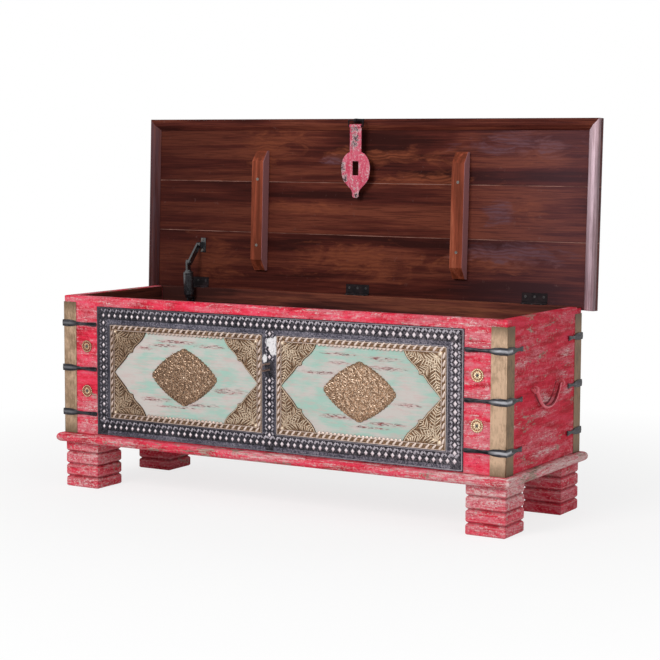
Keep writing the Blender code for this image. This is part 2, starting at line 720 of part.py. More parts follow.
def make_lid_panel(lid_pivot):
    bm = bmesh.new()
    add_block(bm, (-LID_HALF_WIDTH, -LID_FRONT, FIELD),
              (LID_HALF_WIDTH, LID_REAR_OVERHANG, FIELD + LID_PANEL_THICKNESS))
    top = FIELD + LID_PANEL_THICKNESS - SEAT_GAP
    upper = [edge for edge in bm.edges
             if min(edge.verts[0].co.z, edge.verts[1].co.z) > top
             and min(edge.verts[0].co.y, edge.verts[1].co.y) < 0]
    bmesh.ops.bevel(bm, geom=upper, offset=LID_TOP_ROUND, segments=3, profile=ROUND_PROFILE_SHARE,
                    affect="EDGES")
    cuts = []
    half = HINGE_LENGTH / 2 + MORTISE_CLEARANCE
    leaf_top = FIELD + HINGE_LEAF_THICKNESS + MORTISE_CLEARANCE
    knuckle_reach = KNUCKLE_RADIUS + MORTISE_CLEARANCE
    for place in hinge_places():
        cuts.append(("DIFFERENCE", block_mesh(
            (place - half, -HINGE_LID_LEAF - MORTISE_CLEARANCE, FIELD - CUT_OVERRUN),
            (place + half, 0, leaf_top))))
        cuts.append(("DIFFERENCE", block_mesh(
            (place - half, -knuckle_reach, FIELD - CUT_OVERRUN),
            (place + half, knuckle_reach, knuckle_reach))))
    add_part("lid_panel", combined_mesh(finish_mesh(bm), cuts), "dark_wood",
             parent=lid_pivot)


def make_lid_rim(lid_pivot):
    # A moulding under the front and side edges of the lid, mitred at the corners.
    top = FIELD - SEAT_GAP
    stations = ((-1, 0), (-1, 1), (1, 1), (1, 0))
    rings = []
    for sign, front in stations:
        ring = []
        for inset_share, depth_share in RIM_PROFILE_SHARES:
            inset = inset_share * RIM_WIDTH
            along = inset - LID_FRONT if front else LID_REAR_OVERHANG
            ring.append((sign * (LID_HALF_WIDTH - inset), along,
                         top - depth_share * RIM_DEPTH))
        rings.append(ring)
    add_part("lid_rim", loft_mesh(rings), "dark_wood", parent=lid_pivot)


def make_battens(lid_pivot):
    # Cross battens under the lid with long chamfers at both ends.
    top = FIELD - SEAT_GAP
    outline = ((-BATTEN_START, top), (-BATTEN_END, top),
               (-BATTEN_END, top - BATTEN_END_DEPTH),
               (BATTEN_CHAMFER - BATTEN_END, top - BATTEN_DEPTH),
               (-BATTEN_START - BATTEN_CHAMFER, top - BATTEN_DEPTH),
               (-BATTEN_START, top - BATTEN_END_DEPTH))
    for side, sign in (("left", -1), ("right", 1)):
        rings = []
        for reach in (BATTEN_INNER, BATTEN_INNER + BATTEN_WIDTH):
            rings.append([(sign * reach, y, z) for y, z in outline])
        add_part("batten_" + side, loft_mesh(rings), "light_wood", parent=lid_pivot)


def lug_mesh(radius, reach, thickness, centre, way):
    # A flat lug square to X: a round end about the origin, and its root along Z.
    outline = [(radius * math.sin(angle), -way * radius * math.cos(angle))
               for angle in even_angles(STAY_SIDES // 2)]
    outline += [(radius, way * reach), (-radius, way * reach)]
    half = thickness / 2
    return loft_mesh([[(centre + side * half, y, z) for y, z in outline]
                      for side in (-1, 1)])


def even_angles(steps):
    # Angles of a half circle, from one side to the other.
    return [math.pi * (index / steps - 1 / 2) for index in range(steps + 1)]


def stay_sizes():
    # The two pivot lines of the stay and the link between them, in the open pose.
    lid_arm = Vector((0, -STAY_LID_DISTANCE, -STAY_LID_STANDOFF))
    lid_arm.rotate(Matrix.Rotation(-OPEN_ANGLE, 3, "X"))
    link = Vector((0, STAY_PIVOT_SETBACK, STAY_PIVOT_DROP))
    foot = Vector((0, AXIS_Y - STAY_PIVOT_SETBACK, AXIS_Z - STAY_PIVOT_DROP))
    return lid_arm, link, foot


def tilt_of(direction):
    # The turn about X that brings +Z onto a direction in the YZ plane.
    return math.atan2(-direction.y, direction.z)


def pin_tools(start, end, head_start, head_end):
    # A pin along X with a flat head.
    return [("UNION", rod_mesh(STAY_PIN_RADIUS, (start, 0, 0), (end, 0, 0), STAY_SIDES)),
            ("UNION", rod_mesh(STAY_PIN_HEAD, (head_start, 0, 0), (head_end, 0, 0),
                               STAY_SIDES))]


def bore_tool(centre, z):
    # A hole along X through a tongue or link.
    reach = STAY_TONGUE_THICKNESS / 2 + CUT_OVERRUN
    return ("DIFFERENCE", rod_mesh(STAY_PIN_RADIUS + STAY_PIN_CLEARANCE,
                                   (centre - reach, 0, z), (centre + reach, 0, z),
                                   STAY_SIDES))


def make_stay(lid_pivot):
    lid_arm, link, foot = stay_sizes()
    half = STAY_TONGUE_THICKNESS / 2
    step = STAY_TONGUE_THICKNESS + SEAT_GAP
    wall_side = STAY_WALL_LAYER * step
    link_side = STAY_LINK_LAYER * step
    lid_side = STAY_LID_LAYER * step
    head_gap = SEAT_GAP + STAY_HEAD_THICKNESS

    # Bracket on the rear wall, with the lower pin fixed in it.
    wall = HALF_DEPTH - PANEL_THICKNESS - SEAT_GAP - foot.y
    plate = block_mesh((wall_side - STAY_PLATE_WIDTH / 2, wall - STAY_PLATE_THICKNESS,
                        -STAY_PLATE_LENGTH / 2),
                       (wall_side + STAY_PLATE_WIDTH / 2, wall, STAY_PLATE_LENGTH / 2))
    lug = lug_mesh(STAY_EYE_RADIUS, wall - STAY_PLATE_THICKNESS / 2,
                   STAY_TONGUE_THICKNESS, wall_side, 1)
    lug.transform(Matrix.Rotation(math.radians(-90), 4, "X"))
    tools = [("UNION", lug)]
    tools += pin_tools(wall_side, half + head_gap, half + SEAT_GAP, half + head_gap)
    add_part("stay_wall_bracket", combined_mesh(plate, tools), "black_steel",
             location=(STAY_CENTRE, foot.y, foot.z))

    # Damper barrel between the wall pin and the elbow.
    length = lid_arm.length
    profile = [(share * STAY_BARREL_RADIUS, along * length)
               for along, share in STAY_BARREL_SHARES]
    body = turned_mesh(profile, STAY_SIDES)
    grip = STAY_EYE_RADIUS / 2
    lower_reach = length * STAY_BARREL_SHARES[-1][0] + grip
    upper_reach = length * (1 - STAY_BARREL_SHARES[0][0]) + grip
    lower = lug_mesh(STAY_EYE_RADIUS, lower_reach, STAY_TONGUE_THICKNESS, 0, 1)
    upper = lug_mesh(STAY_EYE_RADIUS, upper_reach, STAY_TONGUE_THICKNESS, 0, -1)
    upper = moved_mesh(upper, (0, 0, length))
    tools = [("UNION", lower), ("UNION", upper), bore_tool(0, 0)]
    for tool in pin_tools(0, link_side + half + head_gap, link_side + half + SEAT_GAP,
                          link_side + half + head_gap):
        tools.append((tool[0], moved_mesh(tool[1], (0, 0, length))))
    barrel_pivot = add_empty("stay_barrel_pivot", (STAY_CENTRE, foot.y, foot.z),
                             tilt_of(lid_arm))
    add_part("stay_barrel", combined_mesh(body, tools), "black_steel",
             parent=barrel_pivot, smooth=True)

    # Link from the elbow to the lid.
    bar = []
    for way, start in ((-1, 0), (1, link.length)):
        bar += [(-way * STAY_EYE_RADIUS * math.sin(angle),
                 start + way * STAY_EYE_RADIUS * math.cos(angle))
                for angle in even_angles(STAY_SIDES // 2)]
    rings = [[(link_side + side * half, y, z) for y, z in bar] for side in (-1, 1)]
    tools = [bore_tool(link_side, 0), bore_tool(link_side, link.length)]
    elbow = foot + lid_arm
    link_pivot = add_empty("stay_link_pivot", (STAY_CENTRE, elbow.y, elbow.z),
                           tilt_of(link))
    add_part("stay_link", combined_mesh(loft_mesh(rings), tools), "black_steel",
             parent=link_pivot)

    # Bracket under the lid, with the upper pin fixed in it.
    rise = FIELD - SEAT_GAP + STAY_LID_STANDOFF
    keep = link_side + half + SEAT_GAP
    plate = block_mesh((keep, -STAY_PLATE_LENGTH / 2, rise - STAY_PLATE_THICKNESS),
                       (lid_side + STAY_PLATE_WIDTH / 2, STAY_PLATE_LENGTH / 2, rise))
    lug = lug_mesh(STAY_EYE_RADIUS, rise - STAY_PLATE_THICKNESS / 2,
                   STAY_TONGUE_THICKNESS, lid_side, 1)
    pin = rod_mesh(STAY_PIN_RADIUS, (half + SEAT_GAP * 2, 0, 0), (lid_side, 0, 0),
                   STAY_SIDES)
    tools = [("UNION", lug), ("UNION", pin)]
    add_part("stay_lid_bracket", combined_mesh(plate, tools), "black_steel",
             location=(STAY_CENTRE, -STAY_LID_DISTANCE, -STAY_LID_STANDOFF),
             parent=lid_pivot)


def make_hasp(lid_pivot):
    # An eye under the rim, a ring that swings in it, and the hasp on the ring.
    plate = block_mesh((-EYE_PLATE_LENGTH / 2, -EYE_PLATE_WIDTH / 2,
                        EYE_REACH - SEAT_GAP - EYE_PLATE_THICKNESS),
                       (EYE_PLATE_LENGTH / 2, EYE_PLATE_WIDTH / 2, EYE_REACH - SEAT_GAP))
    half = EYE_THICKNESS / 2
    stem = lug_mesh(EYE_HALF_WIDTH, EYE_REACH - EYE_PLATE_THICKNESS, EYE_THICKNESS, 0, 1)
    hole = rod_mesh(RING_WIRE + RING_CLEARANCE, (-half - CUT_OVERRUN, 0, 0),
                    (half + CUT_OVERRUN, 0, 0), EYE_SIDES)
    eye = combined_mesh(plate, [("UNION", stem), ("DIFFERENCE", hole)])
    place = (0, RING_PIVOT_Y, RING_PIVOT_Z)
    add_part("hasp_eye", eye, "iron", location=place, parent=lid_pivot)

    ring_pivot = add_empty("hasp_ring_pivot", place, OPEN_ANGLE, lid_pivot)
    reach = RING_WIDTH / 2
    corners_of_ring = [(-reach, 0, 0), (reach, 0, 0), (reach, 0, -RING_LENGTH),
                       (-reach, 0, -RING_LENGTH)]
    ring = tube_mesh(corners_of_ring, RING_WIRE, RING_SIDES // 4, cyclic=True)
    add_part("hasp_ring", ring, "iron", parent=ring_pivot, smooth=True)

    hasp_pivot = add_empty("hasp_pivot", (0, 0, -RING_LENGTH), 0, ring_pivot)
    add_part("hasp", hasp_mesh(), "red_iron", parent=hasp_pivot)


def smooth_points(points):
    # A smooth line through points, with even steps between each two.
    places = [Vector(point) for point in points]
    padded = [places[0]] + places + [places[-1]]
    line = []
    for before, start, end, after in zip(padded, padded[1:], padded[2:], padded[3:]):
        leaving = start + (end - before) * HASP_HANDLE_SHARE
        arriving = end - (after - start) * HASP_HANDLE_SHARE
        curve = interpolate_bezier(start, leaving, arriving, end, HASP_SMOOTH_STEPS + 1)
        line += [(point[0], point[1]) for point in curve[:-1]]
    return line + [points[-1]]


def hasp_mesh():
    strap_half = HASP_OUTLINE_SHARES[0][1] * HASP_HALF_WIDTH
    right = [(strap_half, 0)]
    right += [(share * HASP_HALF_WIDTH, -along * HASP_LENGTH)
              for along, share in smooth_points(HASP_OUTLINE_SHARES)]
    left = [(-x, z) for x, z in reversed(right)]
    slot = rectangle(HASP_SLOT_WIDTH / 2, HASP_SLOT_HEIGHT / 2, 0, -HASP_SLOT_DISTANCE)
    hole = arc_points(HASP_HOLE_RADIUS, 0, 2 * math.pi * (1 - 1 / RING_SIDES), RING_SIDES,
                      (0, -HASP_HOLE_DISTANCE))
    blade = plate_mesh([right + left, slot, hole], HASP_THICKNESS / 2, -HASP_THICKNESS / 2)
    knuckle = rod_mesh(HASP_KNUCKLE_RADIUS, (-strap_half, 0, 0), (strap_half, 0, 0),
                       EYE_SIDES)
    bore = rod_mesh(RING_WIRE + RING_CLEARANCE, (-strap_half - CUT_OVERRUN, 0, 0),
                    (strap_half + CUT_OVERRUN, 0, 0), EYE_SIDES)
    return combined_mesh(blade, [("UNION", knuckle), ("DIFFERENCE", bore)])


def make_staple():
    # A wire loop that stands out of the front for the hasp to drop over.
    radius = STAPLE_HEIGHT / 2 - STAPLE_WIRE
    nose = STAPLE_REACH - STAPLE_WIRE - radius
    start = -HALF_DEPTH - SEAT_GAP
    bend = arc_points(radius, math.pi / 2, -math.pi / 2, LOOP_SIDES // 2 + 1)
    points = [(0, start, STAPLE_Z + radius)]
    points += [(0, -HALF_DEPTH - nose - along, STAPLE_Z + rise) for along, rise in bend]
    points.append((0, start, STAPLE_Z - radius))
    mesh = tube_mesh(points, STAPLE_WIRE, 2)
    add_part("staple", mesh, "iron", smooth=True)


def make_handles():
    height = BASE_TOP + HANDLE_HEIGHT
    hole = HANDLE_PIN + LOOP_CLEARANCE
    middle = hole + LOOP_WIRE
    for side, sign in (("left", -1), ("right", 1)):
        pivot_x = sign * (HALF_WIDTH + HANDLE_STANDOFF)
        for end, way in (("front", -1), ("rear", 1)):
            loop = [(x, 0, z) for x, z in arc_points(
                middle, 0, 2 * math.pi * (1 - 1 / LOOP_SIDES), LOOP_SIDES)]
            ring = tube_mesh(loop, LOOP_WIRE, 2, cyclic=True)
            shank = rod_mesh(LOOP_WIRE, (-sign * middle, 0, 0),
                             (sign * (SEAT_GAP - HANDLE_STANDOFF), 0, 0), LOOP_SIDES)
            eye = combined_mesh(ring, [("UNION", shank)])
            add_part("handle_eye_" + side + "_" + end, eye, "iron",
                     location=(pivot_x, way * HANDLE_SPAN / 2, height), smooth=True)
        pivot = add_empty("handle_pivot_" + side, (pivot_x, 0, height))
        add_part("handle_bail_" + side, bail_mesh(), "red_iron", parent=pivot, smooth=True)


def bail_mesh():
    # A swag-shaped bar with a thinner pin at each end.
    half = HANDLE_SPAN / 2 - LOOP_WIRE - LOOP_CLEARANCE - HANDLE_BAR
    points = []
    for index in range(HANDLE_POINTS + 1):
        share = 2 * index / HANDLE_POINTS - 1
        along = half * math.sin(share * math.pi / 2)
        sag = 1 - abs(along / half) ** HANDLE_CURVE_SHARE
        points.append((0, along, -HANDLE_DROP * sag))
    bar = tube_mesh(points, HANDLE_BAR, 2)
    tip = HANDLE_SPAN / 2 + LOOP_WIRE + HANDLE_END
    tools = []
    for way in (-1, 1):
        inner = way * half
        tools.append(("UNION", rod_mesh(HANDLE_PIN, (0, inner, 0), (0, way * tip, 0),
                                        LOOP_SIDES // 2)))
        tools.append(("UNION", rod_mesh(HANDLE_BAR, (0, way * (tip - HANDLE_BAR), 0),
                                        (0, way * tip, 0), LOOP_SIDES // 2)))
    return combined_mesh(bar, tools)


clear_scene()
PARTS = add_collection("storage_chest")
make_panels()
make_base_board()
make_feet()
make_corner_brasses()
make_corner_straps()
make_iron_border()
make_front_inlays()
make_rosettes()
make_staple()
make_handles()
lid_hinge = add_empty("lid_hinge_axis", (0, AXIS_Y, AXIS_Z), -OPEN_ANGLE)
make_lid_panel(lid_hinge)
make_lid_rim(lid_hinge)
make_battens(lid_hinge)
make_hinges(lid_hinge)
make_stay(lid_hinge)
make_hasp(lid_hinge)
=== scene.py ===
import json
from math import atan2, cos, hypot, pi, radians, remainder, sin, sqrt

import bmesh
import bpy
from mathutils import Matrix, Vector


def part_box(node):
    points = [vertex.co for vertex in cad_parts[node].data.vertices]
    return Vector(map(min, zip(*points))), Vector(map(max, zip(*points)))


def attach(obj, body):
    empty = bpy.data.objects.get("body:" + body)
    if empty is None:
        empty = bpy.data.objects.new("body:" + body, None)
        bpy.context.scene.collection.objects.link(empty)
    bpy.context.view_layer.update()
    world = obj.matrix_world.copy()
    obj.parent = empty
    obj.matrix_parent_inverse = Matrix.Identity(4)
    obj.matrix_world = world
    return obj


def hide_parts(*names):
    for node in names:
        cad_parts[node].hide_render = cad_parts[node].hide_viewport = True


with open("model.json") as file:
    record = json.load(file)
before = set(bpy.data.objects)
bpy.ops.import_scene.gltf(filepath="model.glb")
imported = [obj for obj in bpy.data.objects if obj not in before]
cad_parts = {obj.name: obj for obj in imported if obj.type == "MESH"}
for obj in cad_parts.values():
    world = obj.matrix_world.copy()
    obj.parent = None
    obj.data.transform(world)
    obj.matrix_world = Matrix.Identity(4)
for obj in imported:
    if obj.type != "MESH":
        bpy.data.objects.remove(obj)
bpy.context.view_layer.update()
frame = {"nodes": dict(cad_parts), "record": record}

nodes = frame["nodes"]
joints = {joint["name"]: joint for joint in frame["record"]["behaviour"]["joints"]}
print("frame loaded,", len(nodes), "nodes")

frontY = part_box("front_panel")[0][1]
hingeLine = Vector(joints["lid_hinge"]["pos_m"])
openAngle = radians(92)
lidPlace = Matrix.Translation(hingeLine) @ Matrix.Rotation(-openAngle, 4, "X")


def onFront(x, z, lift=0.0, turn=0.0):
    # flat shapes are drawn in XY with their height along Z, then stood up on the front
    return (Matrix.Translation((x, frontY - lift, z)) @ Matrix.Rotation(radians(90), 4, "X")
            @ Matrix.Rotation(turn, 4, "Z"))


def onLid(x, distance, drop=0.0):
    # a place on the underside of the lid, given as it is when the lid is shut
    return (lidPlace @ Matrix.Translation((x, -distance, -drop))
            @ Matrix.Rotation(radians(180), 4, "X"))


def toMesh(bm, name):
    bmesh.ops.recalc_face_normals(bm, faces=bm.faces)
    mesh = bpy.data.meshes.new(name)
    bm.to_mesh(mesh)
    bm.free()
    return mesh


def stamp(bm, shape, matrix):
    # adds a copy of a small mesh at a place
    start = len(bm.verts)
    bm.from_mesh(shape)
    bm.verts.ensure_lookup_table()
    bmesh.ops.transform(bm, matrix=matrix, verts=bm.verts[start:])


def addPiece(name, bm, body, material, smoothAngle=40, replaces=()):
    mesh = toMesh(bm, name)
    piece = bpy.data.objects.new(name, mesh)
    bpy.context.scene.collection.objects.link(piece)
    if smoothAngle:
        mesh.shade_smooth()
        mesh.set_sharp_from_angle(angle=radians(smoothAngle))
    mesh.materials.append(material)
    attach(piece, body)
    if replaces:
        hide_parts(*replaces)
    return piece


def mergedCopy(nodeName):
    bm = bmesh.new()
    bm.from_mesh(nodes[nodeName].data)
    bmesh.ops.remove_doubles(bm, verts=bm.verts, dist=0.00002)
    return bm


def leafShape(length, width, height, bend=0.0, segments=6):
    # a flattened leaf with a ridge, its root at the origin and its tip along X
    bm = bmesh.new()
    bmesh.ops.create_uvsphere(bm, u_segments=segments, v_segments=segments, radius=1)
    bmesh.ops.rotate(bm, verts=bm.verts, matrix=Matrix.Rotation(radians(90), 3, "Y"))
    for vert in bm.verts:
        along = (vert.co.x + 1) / 2
        side = vert.co.y * (0.65 + 0.7 * (1 - along)) * width / 2
        rise = max(vert.co.z, -0.2) * (1 - 0.45 * abs(vert.co.y)) * height
        curve = bend * sin(along * pi / 2) ** 2 * length
        vert.co = (along * length, side + curve, rise)
    return toMesh(bm, "leaf")


def barShape(length, width, height):
    # a small raised bar with sloping sides
    bm = bmesh.new()
    bmesh.ops.create_cube(bm, size=1, matrix=Matrix.Diagonal((length, width, height, 1)))
    top = [face for face in bm.faces if face.normal.z > 0.5]
    bmesh.ops.inset_region(bm, faces=top, thickness=width * 0.28)
    bmesh.ops.translate(bm, verts=top[0].verts, vec=(0, 0, height * 0.35))
    return toMesh(bm, "bar")


def diamondShape(halfWidth, halfLength, height):
    bm = bmesh.new()
    bmesh.ops.create_cone(bm, cap_ends=True, segments=4, radius1=1, radius2=0.25, depth=height,
                          matrix=Matrix.Translation((0, 0, height / 2)))
    bmesh.ops.scale(bm, verts=bm.verts, vec=(halfWidth, halfLength, 1))
    return toMesh(bm, "diamond")


def domeShape(radius, height, segments):
    bm = bmesh.new()
    bmesh.ops.create_uvsphere(bm, u_segments=segments, v_segments=6, radius=1)
    bmesh.ops.scale(bm, verts=bm.verts, vec=(radius, radius, height))
    return toMesh(bm, "dome")


def vertsIn(geometry):
    return [item for item in geometry if isinstance(item, bmesh.types.BMVert)]


def screwShape(radius, height):
    # a flat round head with a cross cut into it
    bm = bmesh.new()
    bmesh.ops.create_grid(bm, x_segments=9, y_segments=9, size=1)
    for vert in bm.verts:
        reach = max(abs(vert.co.x), abs(vert.co.y))
        place = vert.co.normalized() * reach if reach > 0.9 else vert.co
        vert.co = (place.x * radius, place.y * radius, height)
    cross = []
    for face in bm.faces:
        middle = face.calc_center_median()
        if middle.xy.length < radius * 0.62 and min(abs(middle.x), abs(middle.y)) < radius * 0.15:
            cross.append(face)
    rim = [edge for edge in bm.edges if edge.is_boundary]
    grown = bmesh.ops.extrude_edge_only(bm, edges=rim)["geom"]
    for vert in vertsIn(grown):
        vert.co = (vert.co.x * 1.12, vert.co.y * 1.12, 0)
    sunk = bmesh.ops.extrude_face_region(bm, geom=cross)["geom"]
    bmesh.ops.delete(bm, geom=cross, context="FACES")
    for vert in vertsIn(sunk):
        vert.co.z -= height * 0.7
    return toMesh(bm, "screw")


class Wire:
    # the output of a shader node, so that masks and mixes can be written as sums and products

    def __init__(self, socket):
        self.socket = socket

    def apply(self, operation, *others):
        node = self.socket.id_data.nodes.new("ShaderNodeMath")
        node.operation = operation
        for socket, value in zip(node.inputs, (self, *others)):
            connect(socket, value)
        return Wire(node.outputs[0])

    def __add__(self, other):
        return self.apply("ADD", other)

    def __sub__(self, other):
        return self.apply("SUBTRACT", other)

    def __rsub__(self, other):
        return (self * -1.0) + other

    def __mul__(self, other):
        return self.apply("MULTIPLY", other)

    def __truediv__(self, other):
        return self.apply("DIVIDE", other)

    def __pow__(self, other):
        return self.apply("POWER", other)

    def __gt__(self, other):
        return self.apply("GREATER_THAN", other)

    def __lt__(self, other):
        return self.apply("LESS_THAN", other)

    def __abs__(self):
        return self.apply("ABSOLUTE")


def connect(socket, value):
    # a wire is linked, and anything else is set on the socket itself
    if isinstance(value, Wire):
        socket.id_data.links.new(value.socket, socket)
    elif isinstance(value, tuple) and socket.type == "RGBA":
        socket.default_value = (*value, 1)
    else:
        socket.default_value = value


def addNode(tree, kind, inputs=None, **settings):
    node = tree.nodes.new(kind)
    for key, value in settings.items():
        setattr(node, key, value)
    for key, value in (inputs or {}).items():
        connect(node.inputs[key], value)
    return node


def newMaterial(name):
    material = bpy.data.materials.new(name)
    material.use_nodes = True
    return material, material.node_tree


def finish(material, colour, roughness, relief=None, metallic=0.0, shine=0.5):
    # relief is a height with the strength and the depth of its bumps
    tree = material.node_tree
    inputs = tree.nodes["Principled BSDF"].inputs
    connect(inputs["Base Color"], colour)
    connect(inputs["Roughness"], roughness)
    connect(inputs["Metallic"], metallic)
    connect(inputs["Specular IOR Level"], shine)
    if relief:
        height, strength, depth = relief
        bump = addNode(tree, "ShaderNodeBump", {"Height": height, "Strength": strength, "Distance": depth})
        connect(inputs["Normal"], Wire(bump.outputs["Normal"]))
    return material


def objectPlace(tree):
    return Wire(addNode(tree, "ShaderNodeTexCoord").outputs["Object"])


def coords(tree, scale=(1, 1, 1), shift=(0, 0, 0), turn=(0, 0, 0)):
    mapping = addNode(tree, "ShaderNodeMapping", {"Vector": objectPlace(tree), "Scale": scale,
                                                  "Location": shift, "Rotation": turn})
    return Wire(mapping.outputs["Vector"])


def splitCoords(tree):
    split = addNode(tree, "ShaderNodeSeparateXYZ", {"Vector": objectPlace(tree)})
    return [Wire(output) for output in split.outputs]


def noise(tree, scale, shift, detail, roughness, distortion=0.0, turn=(0, 0, 0)):
    # one scale is the same in all directions, and three stretch the noise
    if isinstance(scale, tuple):
        vector, scale = coords(tree, scale, shift, turn), 1.0
    else:
        vector = coords(tree, shift=shift)
    node = addNode(tree, "ShaderNodeTexNoise", {"Vector": vector, "Scale": scale, "Detail": detail,
                                                "Roughness": roughness, "Distortion": distortion})
    return Wire(node.outputs["Fac"])


def ramp(wire, stops):
    node = addNode(wire.socket.id_data, "ShaderNodeValToRGB", {"Fac": wire})
    elements = node.color_ramp.elements
    while len(elements) < len(stops):
        elements.new(0.5)
    for element, (place, colour) in zip(elements, stops):
        element.position = place
        element.color = (*colour, 1) if isinstance(colour, tuple) else (colour, colour, colour, 1)
    return Wire(node.outputs["Color"])


def mix(factor, first, second):
    tree = next(value for value in (factor, first) if isinstance(value, Wire)).socket.id_data
    node = addNode(tree, "ShaderNodeMix", data_type="RGBA")
    for index, value in ((0, factor), (6, first), (7, second)):
        connect(node.inputs[index], value)
    return Wire(node.outputs[2])


def spread(wire, low, high, first=0.0, last=1.0):
    # from one value to another as the wire goes from low to high
    node = addNode(wire.socket.id_data, "ShaderNodeMapRange",
                   {"Value": wire, "From Min": low, "From Max": high, "To Min": first, "To Max": last})
    return Wire(node.outputs["Result"])


def largest(first, *others):
    for other in others:
        first = first.apply("MAXIMUM", other)
    return first


def nearestOf(wire, places):
    # how far the wire is from the nearest of some places along its axis
    nearest = abs(wire - places[0])
    for place in places[1:]:
        nearest = nearest.apply("MINIMUM", abs(wire - place))
    return nearest


def spotDistance(tree, places, side=False):
    # distance to the nearest spot, 1 at its edge: across (y on a side, else x), z, half width, half height
    nearest = None
    for across, z, halfAcross, halfZ in places:
        scale = Vector((1 / halfAcross, 0, 1 / halfZ))
        shift = Vector((-across / halfAcross, 0, -z / halfZ))
        if side:
            scale, shift = scale.yxz, shift.yxz
        node = addNode(tree, "ShaderNodeVectorMath", {0: coords(tree, scale, shift)}, operation="LENGTH")
        away = Wire(node.outputs["Value"])
        nearest = away if nearest is None else nearest.apply("MINIMUM", away)
    return nearest


camera = {"place": (2.0533, -3.4176, 0.7756), "yaw": 30.526, "pitch": 5.79, "roll": 0.231, "lens": 99.49}


def setUpCamera():
    yaw, pitch, roll = (radians(camera[key]) for key in ("yaw", "pitch", "roll"))
    ahead = Vector((-sin(yaw) * cos(pitch), cos(yaw) * cos(pitch), -sin(pitch)))
    level = Vector((cos(yaw), sin(yaw), 0))
    above = level.cross(ahead)
    right = level * cos(roll) + above * sin(roll)
    up = above * cos(roll) - level * sin(roll)
    turn = Matrix((right, up, -ahead)).transposed()
    data = bpy.data.cameras.new("photoCamera")
    data.lens = camera["lens"]
    data.sensor_width = 36
    data.clip_end = 50
    view = bpy.data.objects.new("photoCamera", data)
    bpy.context.scene.collection.objects.link(view)
    view.matrix_world = Matrix.Translation(camera["place"]) @ turn.to_4x4()
    bpy.context.scene.camera = view
    bpy.context.scene.view_settings.view_transform = "Standard"


# place, power and size of each lamp
lamps = {"keyLamp": ((-0.3, -3.2, 2.3), 80.0, 1.3), "sideLamp": ((2.8, -0.9, 1.4), 13.0, 1.0)}
studio = {"target": (0, 0, 0.35), "fill": 0.34, "floorSize": 9, "floorDrop": 0.0005, "glow": 0.78,
          "fadeFrom": 0.5, "fadeTo": 1.45 / 0.9}


def seenShare(tree):
    # 1 for rays that come from the camera, straight or by way of a mirror or glass
    rays = addNode(tree, "ShaderNodeLightPath").outputs
    return largest(*(Wire(rays[kind]) for kind in ("Is Camera Ray", "Is Glossy Ray", "Is Transmission Ray")))


def setUpStudio():
    for name, (place, power, size) in lamps.items():
        data = bpy.data.lights.new(name, "AREA")
        data.energy = power
        data.size = size
        lamp = bpy.data.objects.new(name, data)
        lamp.location = place
        lamp.rotation_euler = (Vector(studio["target"]) - Vector(place)).to_track_quat("-Z", "Y").to_euler()
        bpy.context.scene.collection.objects.link(lamp)
    world = bpy.data.worlds.new("studio")
    bpy.context.scene.world = world
    world.use_nodes = True
    back = world.node_tree.nodes["Background"].inputs
    connect(back["Strength"], seenShare(world.node_tree) * (1.0 - studio["fill"]) + studio["fill"])
    connect(back["Color"], (1, 1, 1))


def setUpFloor():
    # pale in daylight, and glowing white to the camera away from the chest
    bm = bmesh.new()
    bmesh.ops.create_grid(bm, x_segments=1, y_segments=1, size=studio["floorSize"],
                          matrix=Matrix.Translation((0, 0, -studio["floorDrop"])))
    floor = bpy.data.objects.new("studioFloor", toMesh(bm, "studioFloor"))
    bpy.context.scene.collection.objects.link(floor)
    material, tree = newMaterial("paleFloor")
    finish(material, (0.9, 0.9, 0.9), 0.9, shine=0.1)
    x, y = splitCoords(tree)[:2]
    far = spread((x * x + y * y).apply("SQRT"), studio["fadeFrom"], studio["fadeTo"])
    share = seenShare(tree) * (far * (1 - studio["glow"]) + studio["glow"])
    glow = addNode(tree, "ShaderNodeEmission", {"Color": (1, 1, 1), "Strength": 1.0})
    blend = addNode(tree, "ShaderNodeMixShader", {0: share, 2: Wire(glow.outputs[0]),
                                                  1: Wire(tree.nodes["Principled BSDF"].outputs[0])})
    connect(tree.nodes["Material Output"].inputs["Surface"], Wire(blend.outputs[0]))
    floor.data.materials.append(material)


setUpCamera()
setUpStudio()
setUpFloor()
print("camera, light and floor ready")

boxInside = {"halfX": 0.5304, "halfY": 0.1654, "floor": 0.1236, "rearTop": 0.4335, "rearY": 0.162}


def insideMask(tree):
    # 1 inside the box, 0 on its outer faces and on its top edge
    x, y, z = splitCoords(tree)
    within = (abs(x) < boxInside["halfX"]) * (abs(y) < boxInside["halfY"]) * (z > boxInside["floor"])
    rearEdge = (z > boxInside["rearTop"]) * (y > boxInside["rearY"])
    return largest(rearEdge, within)


woodTones = {"dark": (0.027, 0.0045, 0.0032), "middle": (0.08, 0.015, 0.01), "warm": (0.16, 0.04, 0.022)}
innerTones = {"dark": (0.035, 0.009, 0.007), "middle": (0.125, 0.031, 0.021), "warm": (0.22, 0.065, 0.035)}
battenTones = {"dark": (0.13, 0.027, 0.012), "middle": (0.29, 0.062, 0.03), "warm": (0.44, 0.12, 0.062)}


def grain(along, across, axis):
    return tuple(along if axis == letter else across for letter in "XYZ")


